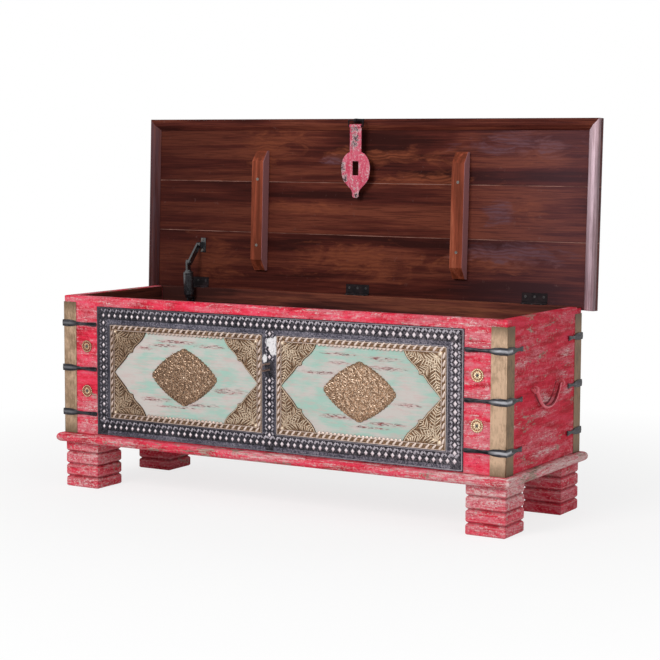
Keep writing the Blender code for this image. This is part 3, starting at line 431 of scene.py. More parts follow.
def woodColour(tree, seed, tones=woodTones, axis="X"):
    # long streaks over slow changes of tone, with fine dark pores over them
    wide = noise(tree, grain(1.7, 13.0, axis), (seed, 0, seed), 4.0, 0.55, 0.9)
    streak = noise(tree, grain(2.6, 85.0, axis), (seed, seed, 0), 6.0, 0.66, 0.35)
    fine = noise(tree, grain(14.0, 420.0, axis), (0, seed, seed), 4.0, 0.65)
    base = ramp(wide * 0.5 + streak * 0.5,
                ((0.41, tones["dark"]), (0.5, tones["middle"]), (0.59, tones["warm"])))
    return mix(ramp(fine, ((0.4, 0.5), (0.52, 0.0))), base, tones["dark"]), fine


# pink, white and bare are the levels from which they show, so a lower one shows more
# the second column darkens the red all over and strengthens its dark streaks; in the row for the rear feet it is
# painted shade, as they stand under the chest
paintKeys = ("seed", "darkShare", "long", "pink", "white", "bare", "rubbed")
paints = {"front": (1.0, 0.0, 34.0, 0.505, 0.555, 0.63, 0.02), "side": (5.0, 0.4, 40.0, 0.522, 0.572, 0.585, 0.0),
          "rear": (21.0, 0.4, 40.0, 0.508, 0.556, 0.585, 0.0), "board": (9.0, 0.05, 24.0, 0.47, 0.52, 0.56, 0.03),
          "foot": (13.0, 0.1, 80.0, 0.48, 0.532, 0.6, 0.04), "shadedRearFoot": (17.0, 0.4, 80.0, 0.51, 0.56, 0.59, 0.03)}
bareSpots = {"front": ((0.47, 0.396, 0.013, 0.012), (0.452, 0.135, 0.02, 0.004), (0.1, 0.4335, 0.1, 0.003)),
             "board": ((-0.2, 0.113, 0.06, 0.006),), "foot": ((0.49, 0.055, 0.02, 0.006),)}
sideWear = ((0.001, 0.262, 0.03, 0.016), (0.01, 0.23, 0.06, 0.009), (-0.11, 0.347, 0.045, 0.012),
            (0.105, 0.345, 0.04, 0.02), (0.095, 0.303, 0.028, 0.006), (0.12, 0.262, 0.025, 0.009),
            (-0.135, 0.222, 0.03, 0.009), (0.035, 0.18, 0.06, 0.014), (0.02, 0.15, 0.1, 0.007))
boardEnd = {"x": 0.558, "wear": 0.032}
bailCurve = {"level": 0.2865, "half": 0.0565, "drop": 0.042, "power": 2.6}
footGrooves = {"levels": (0.0242, 0.052, 0.0798), "half": 0.005}


def insideBail(tree):
    # height above the line in which a bail hangs
    y, z = splitCoords(tree)[1:]
    bulge = (abs(y) / bailCurve["half"]) ** bailCurve["power"]
    return z - (bulge * bailCurve["drop"] + (bailCurve["level"] - bailCurve["drop"]))


def redPaint(name):
    # red over pink primer over bare wood, rubbed through in small level marks
    sizes = dict(zip(paintKeys, paints[name]))
    seed, long = sizes["seed"], sizes["long"]
    material, tree = newMaterial(name + "RedPaint")
    x, y, z = splitCoords(tree)
    speck = noise(tree, 520.0, (seed, 0, 0), 3.0, 0.65)
    crumb = noise(tree, 170.0, (0, seed, 2), 4.0, 0.7)
    broad = noise(tree, (long * 0.28, long * 0.28, 95.0), (seed, 3, 1), 6.0, 0.65, 0.4)
    scratch = noise(tree, (long, long, 300.0), (seed, 1, 2), 6.0, 0.75, 0.5)
    hair = noise(tree, (long * 1.6, long * 1.6, 1000.0), (2, seed, 1), 4.0, 0.7)
    patch = noise(tree, (8.0, 8.0, 38.0), (1, 2, seed), 6.0, 0.68, 0.5)
    cluster = noise(tree, (4.0, 4.0, 11.0), (seed, seed, 3), 4.0, 0.6)
    deep = noise(tree, (11.0, 11.0, 60.0), (seed, 4, seed), 5.0, 0.65)
    red = ramp(deep, ((0.38, (0.42, 0.012, 0.026)), (0.5, (0.74, 0.026, 0.062)),
                      (0.64, (0.82, 0.075, 0.135))))
    colour = mix(sizes["darkShare"], red, (0.44, 0.018, 0.032))

    near = 0.0
    if name == "side":
        away = crumb * 0.8 + spotDistance(tree, sideWear, True)
        near = ramp(away * 0.5, ((0.4, 0.055), (0.8, 0.0)))
    if name == "board":
        near = (x > boardEnd["x"]) * boardEnd["wear"]
    soft = broad * 0.4 + cluster * 0.35 + crumb * 0.25 + x * sizes["rubbed"] + near
    pinkMask = ramp(soft, ((sizes["pink"] - 0.045, 0.0), (sizes["pink"] + 0.05, 0.8)))
    colour = mix(pinkMask, colour, ramp(hair, ((0.4, (0.56, 0.1, 0.13)), (0.6, (0.72, 0.28, 0.32)))))
    stroke = (scratch * 0.42 + cluster * 0.2 + crumb * 0.18 + speck * 0.2
              + x * (sizes["rubbed"] / 2) + near)
    whiteMask = ramp(stroke, ((sizes["white"] - 0.02, 0.0), (sizes["white"] + 0.012, 0.9)))
    colour = mix(whiteMask, colour, ramp(hair, ((0.36, (0.55, 0.27, 0.27)), (0.52, (0.72, 0.52, 0.5)),
                                                (0.64, (0.8, 0.7, 0.67)))))
    rubbed = patch * 0.56 + scratch * 0.22 + crumb * 0.22
    if name in bareSpots:
        rubbed += ramp(patch * 0.9 + spotDistance(tree, bareSpots[name]), ((0.6, 0.2), (0.75, 0.0)))
    bareMask = ramp(rubbed, ((sizes["bare"] - 0.03, 0.0), (sizes["bare"], 0.9)))
    colour = mix(bareMask, colour, ramp(hair, ((0.36, (0.1, 0.055, 0.04)), (0.5, (0.34, 0.24, 0.19)),
                                               (0.62, (0.55, 0.43, 0.36)))))

    darkMask = ramp(hair * 0.5 + crumb * 0.3 + speck * 0.2, ((0.4, 0.8), (0.445, 0.0)))
    colour = mix(darkMask, colour, (0.2, 0.014, 0.022))
    streaks = ramp(broad * 0.6 + hair * 0.4, ((0.4, sizes["darkShare"]), (0.46, 0.0)))
    colour = mix(streaks, colour, (0.26, 0.01, 0.02))
    # a painted shadow of the bail on the side panel, in a band just inside the curve in which the bail hangs
    if name == "side":
        line = crumb * 0.002 + insideBail(tree)
        shade = ramp(line * 50.0, ((0.1, 0.0), (0.2, 0.85), (0.34, 0.85), (0.5, 0.0)))
        colour = mix(shade * (abs(y) < bailCurve["half"]), colour, (0.1, 0.006, 0.012))
    if name in ("foot", "shadedRearFoot"):
        away = nearestOf(z, footGrooves["levels"]) / footGrooves["half"]
        lip = ramp(crumb * 0.5 + abs(away - 1.15), ((0.3, 0.45), (0.45, 0.0)))
        colour = mix(lip, colour, (0.66, 0.4, 0.39))
        # painted shade in the grooves of the feet
        sunk = ramp(away, ((0.25, 1.0), (0.75, 0.0)))
        colour = mix(sunk * 0.5, colour, (0.22, 0.035, 0.04))
    inner = woodColour(tree, seed, innerTones, "Y" if name == "side" else "X")[0]
    colour = mix(insideMask(tree), colour, inner)
    height = stroke * 0.8 - bareMask * 0.6
    return finish(material, colour, stroke * 0.5 + 0.35, (height, 0.6, 0.0007), shine=0.1)


scarSpots = ((-0.235, 0.3475, 0.062, 0.0055), (-0.27, 0.338, 0.05, 0.004), (-0.15, 0.342, 0.04, 0.005),
             (-0.33, 0.33, 0.03, 0.005), (-0.19, 0.213, 0.06, 0.005), (-0.292, 0.218, 0.045, 0.0065),
             (-0.105, 0.248, 0.05, 0.008), (-0.23, 0.204, 0.075, 0.003), (0.175, 0.3465, 0.05, 0.004),
             (0.17, 0.328, 0.034, 0.0045), (0.272, 0.342, 0.05, 0.006), (0.285, 0.3235, 0.055, 0.0055),
             (0.12, 0.305, 0.055, 0.004), (0.165, 0.216, 0.05, 0.006), (0.285, 0.208, 0.06, 0.005),
             (0.33, 0.252, 0.04, 0.005), (0.24, 0.199, 0.06, 0.003))


def mintPaint():
    # mint over pinkish white, with dark red-brown scars along the grain
    material, tree = newMaterial("mintPaint")
    x = splitCoords(tree)[0]
    cloud = noise(tree, (11.0, 11.0, 24.0), (3, 0, 1), 4.0, 0.55)
    strokes = noise(tree, (16.0, 16.0, 200.0), (21, 0, 4), 5.0, 0.65)
    hairs = noise(tree, (50.0, 50.0, 900.0), (2, 0, 9), 4.0, 0.65)
    dashes = noise(tree, (95.0, 95.0, 760.0), (5, 0, 2), 3.0, 0.6, 0.2)
    wander = noise(tree, (30.0, 30.0, 90.0), (1, 0, 7), 4.0, 0.6)
    colour = mix(ramp(cloud, ((0.42, 0.0), (0.58, 1.0))), (0.36, 0.54, 0.465), (0.47, 0.54, 0.49))
    white = cloud * 0.55 + strokes * 0.45 + spread(x, -0.22, -0.36, 0.0, 0.07)
    colour = mix(ramp(white, ((0.47, 0.0), (0.57, 0.85))), colour, (0.59, 0.53, 0.5))
    pinkish = ramp(wander * 0.5 + hairs * 0.5, ((0.5, 0.0), (0.59, 0.6)))
    colour = mix(pinkish, colour, (0.58, 0.43, 0.41))
    zone = ramp(wander + spotDistance(tree, scarSpots) * 0.5, ((0.72, 1.0), (1.0, 0.0)))
    blush = zone * ramp(hairs, ((0.42, 0.25), (0.58, 0.75)))
    colour = mix(blush, colour, (0.6, 0.44, 0.42))
    scars = zone * ramp(dashes, ((0.5, 0.0), (0.56, 0.95)))
    colour = mix(scars, colour, ramp(hairs, ((0.44, (0.07, 0.02, 0.025)), (0.6, (0.36, 0.1, 0.1)))))
    return finish(material, colour, 0.62, (strokes * 0.5 - scars, 0.5, 0.0005), shine=0.12)


lidJoints = {"levels": (0.5709, 0.6898), "half": 0.0008, "groove": 0.0009}
warmSpots = ((-0.4, 0.5, 0.1, 0.075), (0.02, 0.51, 0.22, 0.045), (0.33, 0.52, 0.16, 0.03),
             (-0.15, 0.63, 0.12, 0.02), (0.05, 0.75, 0.2, 0.022), (0.42, 0.64, 0.06, 0.03),
             (-0.235, 0.77, 0.1, 0.05), (0.44, 0.76, 0.09, 0.04), (0.18, 0.7, 0.16, 0.02))
greySpots = ((0.345, 0.63, 0.05, 0.034), (0.4, 0.775, 0.17, 0.03), (-0.075, 0.74, 0.05, 0.012),
             (0.4, 0.54, 0.16, 0.03))
rimLight = {"middle": 0.5655, "near": 0.006, "far": 0.017}
battenFlanks = {"places": (-0.2445, 0.2765), "half": 0.0012}


def nearSpots(tree, wander, places):
    # 1 well inside the spots, with an edge that strays
    return ramp(wander * 1.3 + spotDistance(tree, places) * 0.4, ((0.72, 1.0), (1.08, 0.0)))


def boardMarks(tree, colour, seed):
    # three boards of different figure, with worn, paler lines where they meet, a painted sheen towards the right
    # end and painted shade towards the left end
    x, z = splitCoords(tree)[::2]
    for number, level in enumerate(lidJoints["levels"]):
        colour = mix(z > level, colour, woodColour(tree, seed + 11 * (number + 1))[0])
    swirl = noise(tree, (10.0, 10.0, 26.0), (seed, 4, 4), 5.0, 0.6, 1.6)
    wave = addNode(tree, "ShaderNodeTexWave", {"Vector": coords(tree, (1.0, 1.0, 2.2)), "Scale": 16.0,
                                               "Distortion": 9.0, "Detail": 3.0, "Detail Scale": 1.4},
                   bands_direction="Z")
    rings = Wire(wave.outputs["Fac"])
    warm = nearSpots(tree, swirl, warmSpots) * ramp(rings, ((0.2, 0.4), (0.8, 0.8)))
    colour = mix(warm, colour, (0.215, 0.056, 0.026))
    grey = nearSpots(tree, swirl, greySpots) * ramp(rings, ((0.3, 0.35), (0.7, 0.75)))
    colour = mix(grey, colour, (0.125, 0.058, 0.072))
    # painted sheen, purple-grey towards the right end, then painted shade towards the left end
    colour = mix(spread(x, 0.22, 0.5, 0.0, 0.2), colour, (0.15, 0.085, 0.11))
    colour = mix(spread(x, -0.1, -0.5, 0.0, 0.55), colour, woodTones["dark"])
    breaks = noise(tree, (9.0, 0.0, 3.0), (seed, 0, 0), 4.0, 0.6)
    line = (nearestOf(z, lidJoints["levels"]) < lidJoints["half"]) * ramp(breaks, ((0.4, 0.25), (0.55, 0.95)))
    return mix(line, colour, (0.36, 0.19, 0.15))


def endGlareMarks(tree, colour, seed):
    # a painted glare along the middle of the right end of the rim, and the left end dusky
    x = splitCoords(tree)[0]
    streak = noise(tree, (200.0, 200.0, 9.0), (seed, 0, 3), 5.0, 0.7)
    paintedGlare = spread(abs(x - rimLight["middle"]), rimLight["near"], rimLight["far"], 1.0, 0.25)
    paintedGlare = paintedGlare * (x > 0.0) * ramp(streak, ((0.38, 0.55), (0.6, 1.0)))
    colour = mix(paintedGlare, colour, (0.8, 0.59, 0.66))
    return mix((x < 0.0) * ramp(streak, ((0.38, 0.2), (0.6, 0.7))), colour, (0.095, 0.05, 0.06))


def flankSheen(tree, colour, seed):
    # a painted sheen, paler, on the right flank of each batten
    flankSheenMask = nearestOf(splitCoords(tree)[0], battenFlanks["places"]) < battenFlanks["half"]
    return mix(flankSheenMask * 0.9, colour, (0.36, 0.165, 0.175))


def lidWood(name, seed, axis="X", tones=woodTones, shine=0.06, marks=None):
    # varnished wood with a few scuffs
    material, tree = newMaterial(name)
    colour, fine = woodColour(tree, seed, tones, axis)
    if marks:
        colour = marks(tree, colour, seed)
    scuff = noise(tree, (60.0, 60.0, 60.0), (seed, 2, 3), 8.0, 0.75)
    colour = mix(ramp(scuff, ((0.62, 0.0), (0.72, 0.35))), colour, (0.2, 0.11, 0.1))
    return finish(material, colour, scuff * 0.3 + 0.42, (fine, 0.2, 0.0004), shine=shine)


def agedMetal(name, light, dark, metallic, roughness, scale, wear=0.0, shine=0.5):
    # rubbed metal: bright where it is touched, dark where dirt stays
    material, tree = newMaterial(name)
    patina = noise(tree, scale * 0.35, (1, 2, 3), 6.0, 0.7)
    speckle = noise(tree, scale * 3.0, (4, 5, 6), 4.0, 0.7)
    amount = patina * 0.6 + speckle * 0.4 + wear
    colour = mix(ramp(amount, ((0.36, 0.0), (0.62, 1.0))), dark, light)
    return finish(material, colour, speckle * 0.3 + (roughness - 0.15), (amount, 0.35, 0.0004), metallic,
                  shine)


primerWhite = (0.76, 0.74, 0.75)
primerSpots = ((0.005, 0.36, 0.016, 0.015), (0.009, 0.346, 0.011, 0.016), (-0.012, 0.326, 0.007, 0.011),
               (0.016, 0.369, 0.009, 0.007))


def stapleMask(tree):
    # the ragged white patch above the staple
    ragged = noise(tree, 230.0, (9, 9, 9), 5.0, 0.75)
    return ramp(ragged * 1.6 + spotDistance(tree, primerSpots) - 0.8, ((0.72, 1.0), (0.84, 0.0)))


def raisedMetal(name, low, high, tones, metallic=0.75, patch=False, rubbed=0.35, base=-0.35):
    # ornament with dirt left in its hollows, its tops rubbed bright, and painted light that makes it lighter
    # towards the right
    material, tree = newMaterial(name)
    x, y = splitCoords(tree)[:2]
    grime = noise(tree, 210.0, (6, 2, 8), 5.0, 0.7)
    broad = noise(tree, 22.0, (1, 5, 3), 3.0, 0.5)
    # x * rubbed is painted light: the ornament grows lighter towards the right
    height = grime * 0.55 + broad * 0.35 + base + spread(frontY - y, low, high) + x * rubbed
    colour = ramp(height, tuple(zip((0.12, 0.5, 0.88), tones)))
    if patch:
        mask = stapleMask(tree)
        colour = mix(mask, colour, primerWhite)
        metallic = mask * -metallic + metallic
    return finish(material, colour, grime * 0.35 + 0.22, (grime, 0.35, 0.0004), metallic)


def embossedBrass(name, light, dark):
    # a plate beaten all over with small curls
    material, tree = newMaterial(name)
    x = splitCoords(tree)[0]
    swirl = noise(tree, (90.0, 18.0, 90.0), (0, 0, 0), 2.0, 0.5)
    cells = addNode(tree, "ShaderNodeTexVoronoi", {"Vector": coords(tree, (1, 0.2, 1)), "Scale": 210.0,
                                                   "Randomness": 0.9}, feature="F1")
    height = (swirl * 60.0 + Wire(cells.outputs["Distance"]) * 5.0).apply("SINE") * 0.5 + 0.5
    grime = noise(tree, 55.0, (2, 0, 5), 5.0, 0.7)
    # the x term is painted light: the plate grows lighter towards the right
    amount = height * 0.55 + grime * 0.55 + x * 0.45
    colour = mix(ramp(amount, ((0.28, 0.0), (0.68, 1.0))), dark, light)
    return finish(material, colour, grime * 0.3 + 0.28, (height, 0.9, 0.0009), 0.75)


rowSizes = {"top": 0.3875, "bottomLow": 0.138, "bottomHigh": 0.1655, "columnX": 0.4285, "divider": 0.0105,
            "uprightLow": 0.168, "uprightHigh": 0.372}


def embossedIron(name):
    # dark in the rows of ornament and blue-grey on the plain bands beside them
    material, tree = newMaterial(name)
    x, z = splitCoords(tree)[::2]
    bottom = (z > rowSizes["bottomLow"]) * (z < rowSizes["bottomHigh"])
    rows = largest(z > rowSizes["top"], bottom, abs(x) > rowSizes["columnX"], abs(x) < rowSizes["divider"])
    stipple = noise(tree, 330.0, (3, 1, 2), 4.0, 0.7)
    amount = stipple * 0.7 + noise(tree, (14.0, 14.0, 14.0), (7, 1, 2), 3.0, 0.5) * 0.3
    plain = ramp(amount, ((0.4, (0.025, 0.024, 0.034)), (0.5, (0.095, 0.09, 0.118)),
                          (0.62, (0.26, 0.24, 0.28))))
    upright = (z > rowSizes["uprightLow"]) * (z < rowSizes["uprightHigh"])
    plain = mix(upright * 0.6, plain, (0.02, 0.019, 0.026))
    sunk = ramp(amount, ((0.42, (0.006, 0.006, 0.009)), (0.6, (0.06, 0.056, 0.068))))
    colour = mix(rows, plain, sunk)
    # painted highlights: pale specks that grow towards the right
    rubbed = spread(x, -0.1, 0.45, 0.0, 0.35) * ramp(stipple, ((0.45, 0.0), (0.6, 1.0)))
    colour = mix(rubbed, colour, (0.34, 0.28, 0.31))
    mask = stapleMask(tree)
    colour = mix(mask, colour, primerWhite)
    return finish(material, colour, stipple * 0.35 + 0.4, (amount, 0.6, 0.0006), mask * -0.2 + 0.2, 0.12)


haspChips = ((-0.007, 0.774, 0.012, 0.014), (-0.034, 0.727, 0.01, 0.024), (0.0, 0.812, 0.016, 0.012),
             (-0.028, 0.7, 0.01, 0.018), (0.002, 0.662, 0.01, 0.01), (0.0, 0.79, 0.013, 0.034))


def pinkIron(name, red, wear=0.0, spots=None, bail=False):
    # thick paint over iron: pink where it is thin, chipped to white and black
    material, tree = newMaterial(name)
    veil = noise(tree, (98.0, 98.0, 35.0), (140, 210, 280), 6.0, 0.7)
    crumb = noise(tree, 330.0, (7, 3, 1), 5.0, 0.75)
    flecks = noise(tree, 620.0, (1, 8, 5), 3.0, 0.7)
    flakes = noise(tree, 170.0, (3, 6, 2), 4.0, 0.7)
    near = 0.0
    if spots:
        near = ramp(veil * 0.6 + spotDistance(tree, spots) * 0.7, ((0.45, 0.135), (1.0, 0.0)))
    thin = veil * 0.6 + crumb * 0.4 + wear
    colour = ramp(thin, ((0.43, red), (0.53, (0.66, 0.13, 0.2)), (0.6, (0.68, 0.44, 0.46))))
    chips = flakes * 0.6 + crumb * 0.4 + near + wear
    colour = mix(ramp(chips, ((0.56, 0.0), (0.59, 0.85))), colour, (0.66, 0.55, 0.54))
    colour = mix(ramp(chips, ((0.625, 0.0), (0.645, 0.95))), colour, (0.03, 0.022, 0.028))
    colour = mix(ramp(flecks - near, ((0.34, 0.85), (0.38, 0.0))), colour, (0.1, 0.03, 0.05))
    # on a bail, a painted highlight along the outer side of its rod and painted shade along its inner side
    if bail:
        line = insideBail(tree) * 100.0
        colour = mix(ramp(line, ((0.0, 0.55), (0.1, 0.0))), colour, (0.9, 0.26, 0.3))
        colour = mix(ramp(line, ((0.05, 0.0), (0.2, 0.85))), colour, (0.12, 0.006, 0.012))
    return finish(material, colour, thin * 0.4 + 0.25, (chips, -0.5, 0.0006), shine=0.25)


strapLight = {"levels": (0.172, 0.273, 0.374), "from": 0.512, "to": 0.53, "frontY": -0.165,
              "left": 0.3, "right": 0.95}


def strapFinish():
    # blackened iron, with a painted highlight along its ridge where it crosses the brass at the front corners,
    # stronger on the right
    material, tree = newMaterial("strapIronHighlight")
    x, y, z = splitCoords(tree)
    wear = noise(tree, (40.0, 40.0, 200.0), (3, 1, 2), 5.0, 0.7)
    ridge = wear * 0.009 + nearestOf(z, strapLight["levels"])
    corner = spread(abs(x), strapLight["from"], strapLight["to"]) * (y < strapLight["frontY"])
    corner = corner * ((x > 0.0) * (strapLight["right"] - strapLight["left"]) + strapLight["left"])
    paintedRidgeHighlight = corner * ramp(ridge * 100.0, ((0.5, 1.0), (0.85, 0.0)))
    colour = ramp(wear, ((0.42, (0.008, 0.008, 0.01)), (0.6, (0.055, 0.053, 0.06)), (0.7, (0.2, 0.19, 0.2))))
    colour = mix(paintedRidgeHighlight, colour, (0.44, 0.44, 0.47))
    return finish(material, colour, wear * 0.3 + 0.25, (wear, 0.4, 0.0006), 0.6, 0.2)


brassDarkening = {"middle": 0.273, "half": 0.156, "endX": 0.5555}


def cornerBrass(name, light, dark, shine=0.5):
    # sheet brass with fine scratches, gone dark at its two ends
    material, tree = newMaterial(name)
    x, z = splitCoords(tree)[::2]
    scratches = noise(tree, (260.0, 260.0, 70.0), (3, 3, 1), 4.0, 0.7, turn=(0.5, 0.4, 0.0))
    broad = noise(tree, 34.0, (4, 4, 1), 5.0, 0.65)
    # the x term is painted light: the brass grows lighter towards the right
    amount = scratches * 0.5 + broad * 0.5 + x * 0.1
    colour = mix(ramp(amount, ((0.38, 0.0), (0.6, 1.0))), dark, light)
    ends = broad * 0.05 + abs(z - brassDarkening["middle"]) - brassDarkening["half"]
    colour = mix(ramp(ends * 40.0 + 0.3, ((0.0, 0.0), (1.0, 0.8))), colour, (0.1, 0.065, 0.03))
    # darker towards the outer corner of the box
    edges = broad * 0.02 + abs(x) - brassDarkening["endX"]
    colour = mix(ramp(edges * 60.0, ((0.0, 0.0), (1.0, 0.6))), colour, (0.1, 0.06, 0.035))
    return finish(material, colour, scratches * 0.3 + 0.25, (amount, 0.35, 0.0004), 0.45, shine)


def blackEnamel():
    material, tree = newMaterial("blackEnamel")
    dust = noise(tree, 120.0, (0, 0, 0), 6.0, 0.7)
    colour = ramp(dust, ((0.45, (0.006, 0.006, 0.008)), (0.75, (0.03, 0.03, 0.035))))
    return finish(material, colour, dust * 0.25 + 0.12, (dust, 0.08, 0.0004), shine=1.0)


def dress(material, *starts):
    # gives a finish to the solids whose names start so
    for name, node in nodes.items():
        if name.startswith(starts):
            node.data.materials.clear()
            node.data.materials.append(material)


print("making finishes")
lidSheenShadeFinish = lidWood("lidWood", 3.0, marks=boardMarks)
rimFinish = lidWood("rimWood", 6.0)
rimSideGlareFinish = lidWood("rimSideWoodGlare", 8.0, "Z", shine=0.2, marks=endGlareMarks)
brassFront = cornerBrass("brassFront", (0.6, 0.405, 0.27), (0.26, 0.165, 0.095))
# a darker, duller copy of the brass for the end faces, painted shade
shadedBrassEnd = cornerBrass("shadedBrassEnd", (0.27, 0.165, 0.085), (0.06, 0.038, 0.018), 0.08)
plateBrass = embossedBrass("plateBrass", (0.24, 0.14, 0.08), (0.05, 0.027, 0.016))
medallionPlateBrass = embossedBrass("medallionPlateBrass", (0.36, 0.225, 0.14), (0.1, 0.06, 0.038))
leafBrass = raisedMetal("leafBrass", 0.0026, 0.0052,
                        ((0.085, 0.048, 0.026), (0.33, 0.222, 0.145), (0.78, 0.64, 0.49)))
ropeBrass = raisedMetal("ropeBrass", 0.0022, 0.0046,
                        ((0.12, 0.058, 0.045), (0.36, 0.25, 0.2), (0.74, 0.6, 0.53)), 0.4)
medallionBrass = raisedMetal("medallionBrass", 0.0026, 0.005,
                             ((0.115, 0.068, 0.042), (0.33, 0.205, 0.13), (0.7, 0.53, 0.4)),
                             rubbed=0.95, base=-0.245)
rosetteBrass = raisedMetal("rosetteBrass", 0.0008, 0.0026,
                           ((0.24, 0.05, 0.04), (0.42, 0.27, 0.15), (0.8, 0.64, 0.42)))
ironPlate = embossedIron("ironPlate")
ironRaised = raisedMetal("ironRaised", 0.0011, 0.0029,
                         ((0.03, 0.026, 0.032), (0.26, 0.215, 0.235), (0.8, 0.7, 0.73)),
                         0.3, True, 0.55, -0.42)
ironBars = raisedMetal("ironBars", 0.0013, 0.0033,
                       ((0.01, 0.01, 0.013), (0.12, 0.105, 0.13), (0.4, 0.36, 0.4)),
                       0.3, True, 0.65, -0.38)
wornIron = agedMetal("wornIron", (0.2, 0.18, 0.18), (0.015, 0.013, 0.014), 0.6, 0.45, 120.0)
haspPaint = pinkIron("haspPaint", (0.56, 0.045, 0.095), spots=haspChips)
screwSteel = agedMetal("screwSteel", (0.3, 0.27, 0.24), (0.035, 0.025, 0.022), 0.6, 0.45, 200.0)
hingeScrewSteel = agedMetal("hingeScrewSteel", (0.1, 0.09, 0.09), (0.008, 0.007, 0.008), 0.4, 0.45, 200.0)

dress(redPaint("front"), "front_panel")
dress(redPaint("side"), "side_panel")
dress(redPaint("rear"), "rear_panel")
dress(redPaint("board"), "base_board")
dress(redPaint("foot"), "foot_front")
# the rear feet get a darker copy of the foot paint, painted shade under the chest
dress(redPaint("shadedRearFoot"), "foot_rear")
dress(mintPaint(), "inlay_panel")
dress(brassFront, "corner_brass")
dress(plateBrass, "brass_frame")
dress(leafBrass, "medallion", "rosette")
dress(ironPlate, "iron_border")
dress(strapFinish(), "corner_strap")
dress(agedMetal("rust", (0.42, 0.3, 0.26), (0.1, 0.055, 0.045), 0.2, 0.6, 300.0, shine=0.2), "staple")
# the bail paint carries a painted highlight and painted shade on its rods
dress(pinkIron("bailPaintLitShaded", (0.56, 0.016, 0.032), -0.05, bail=True), "handle")
dress(blackEnamel(), "stay")
dress(haspPaint, "hasp")
dress(agedMetal("hingeSteel", (0.03, 0.017, 0.019), (0.003, 0.002, 0.003), 0.0, 0.55, 120.0, -0.05, 0.12),
      "hinge_leaf", "hasp_eye", "hasp_ring")
dress(lidWood("battenWoodSheen", 14.0, "Z", battenTones, 0.1, flankSheen), "batten")
dress(lidSheenShadeFinish, "lid_panel")
dress(rimFinish, "lid_rim")


def makeCornerBrasses():
    # the angles again, with a darker copy of the brass on each end face of the box, painted shade
    for name in [name for name in nodes if name.startswith("corner_brass")]:
        piece = addPiece(name.replace("corner_brass", "cornerBrass"), mergedCopy(name), "chest",
                         brassFront, 30, (name,))
        piece.data.materials.append(shadedBrassEnd)
        for face in piece.data.polygons:
            face.material_index = 1 if abs(face.normal.x) > abs(face.normal.y) + 0.2 else 0


def makeLidBoards():
    # the lid panel with a worn groove where its three boards meet
    bm = mergedCopy("lid_panel")
    inward = lidPlace.to_3x3() @ Vector((0, 0, lidJoints["groove"]))
    for level in lidJoints["levels"]:
        for step in (-1, 0, 1):
            bmesh.ops.bisect_plane(bm, geom=bm.verts[:] + bm.edges[:] + bm.faces[:],
                                   plane_co=(0, 0, level + step * lidJoints["half"]), plane_no=(0, 0, 1))
        for vert in bm.verts:
            if abs(vert.co.z - level) < 0.00005:
                side = (lidPlace.inverted() @ vert.co).z
                vert.co += inward * (1 if side < 0.005 else -1 if side > 0.016 else 0)
    addPiece("lidBoards", bm, "lid", lidSheenShadeFinish, 0, ("lid_panel",))


def makeLidRim():
    # the moulding under the lid, with upright grain on its ends and a painted glare on its right end
    bm = mergedCopy("lid_rim")
    piece = addPiece("lidRimMoulding", bm, "lid", rimFinish, 50, ("lid_rim",))
    piece.data.materials.append(rimSideGlareFinish)
    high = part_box("lid_rim")[1]
    for face in piece.data.polygons:
        face.material_index = 1 if high[0] - abs(face.center.x) < high[2] - face.center.z else 0


def addScrews(name, body, head, places, steel):
    # flat heads, all of one size, at the given places
    bm = bmesh.new()
    shape = screwShape(*head)
    for place in places:
        stamp(bm, shape, place)
    addPiece(name, bm, body, steel)


battenScrews = {"head": (0.0032, 0.0008), "distances": (0.105, 0.2585), "across": 0.2605, "drop": 0.0248}


def makeBattenScrews():
    places = [onLid(side * battenScrews["across"], distance, battenScrews["drop"])
              for side in (-1, 1) for distance in battenScrews["distances"]]
    addScrews("battenScrews", "lid", battenScrews["head"], places, screwSteel)


hingeScrews = {"head": (0.0026, 0.0009), "hinges": (-0.44, 0.0, 0.44), "across": (-0.0215, 0.0, 0.0215),
               "distance": 0.015, "boxShare": 0.85, "sunk": 0.0011}


def makeHingeScrews():
    # three heads in each leaf, set almost level with it
    head, distance, sunk = (hingeScrews[key] for key in ("head", "distance", "sunk"))
    levels = [hinge + across for hinge in hingeScrews["hinges"] for across in hingeScrews["across"]]
    boxY = hingeLine.y - distance * hingeScrews["boxShare"]
    onBox = [Matrix.Translation((x, boxY, hingeLine.z - sunk)) for x in levels]
    addScrews("hingeScrewsLid", "lid", head, [onLid(x, distance, -sunk) for x in levels], hingeScrewSteel)
    addScrews("hingeScrewsBox", "chest", head, onBox, hingeScrewSteel)


stayScrews = {"head": (0.003, 0.0011), "step": 0.0122, "wallX": 0.011, "plate": 0.002,
              "lidX": -0.429, "lidDistance": 0.1, "lidDrop": 0.0018}


def makeStayScrews():
    # two heads in each of the stay's brackets
    low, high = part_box("stay_wall_bracket")
    x, y, z = low[0] + stayScrews["wallX"], high[1] - stayScrews["plate"], (low[2] + high[2]) / 2
    upright = Matrix.Rotation(radians(90), 4, "X")
    steps = (-stayScrews["step"], stayScrews["step"])
    onWall = [Matrix.Translation((x, y, z + step)) @ upright for step in steps]
    underLid = [onLid(stayScrews["lidX"], stayScrews["lidDistance"] + step, stayScrews["lidDrop"])
                for step in steps]
    addScrews("stayScrewsWall", "chest", stayScrews["head"], onWall, screwSteel)
    addScrews("stayScrewsLid", "lid", stayScrews["head"], underLid, screwSteel)


haspEdges = {"sharpest": 70, "shortest": 0.0012, "bevel": 0.0004}


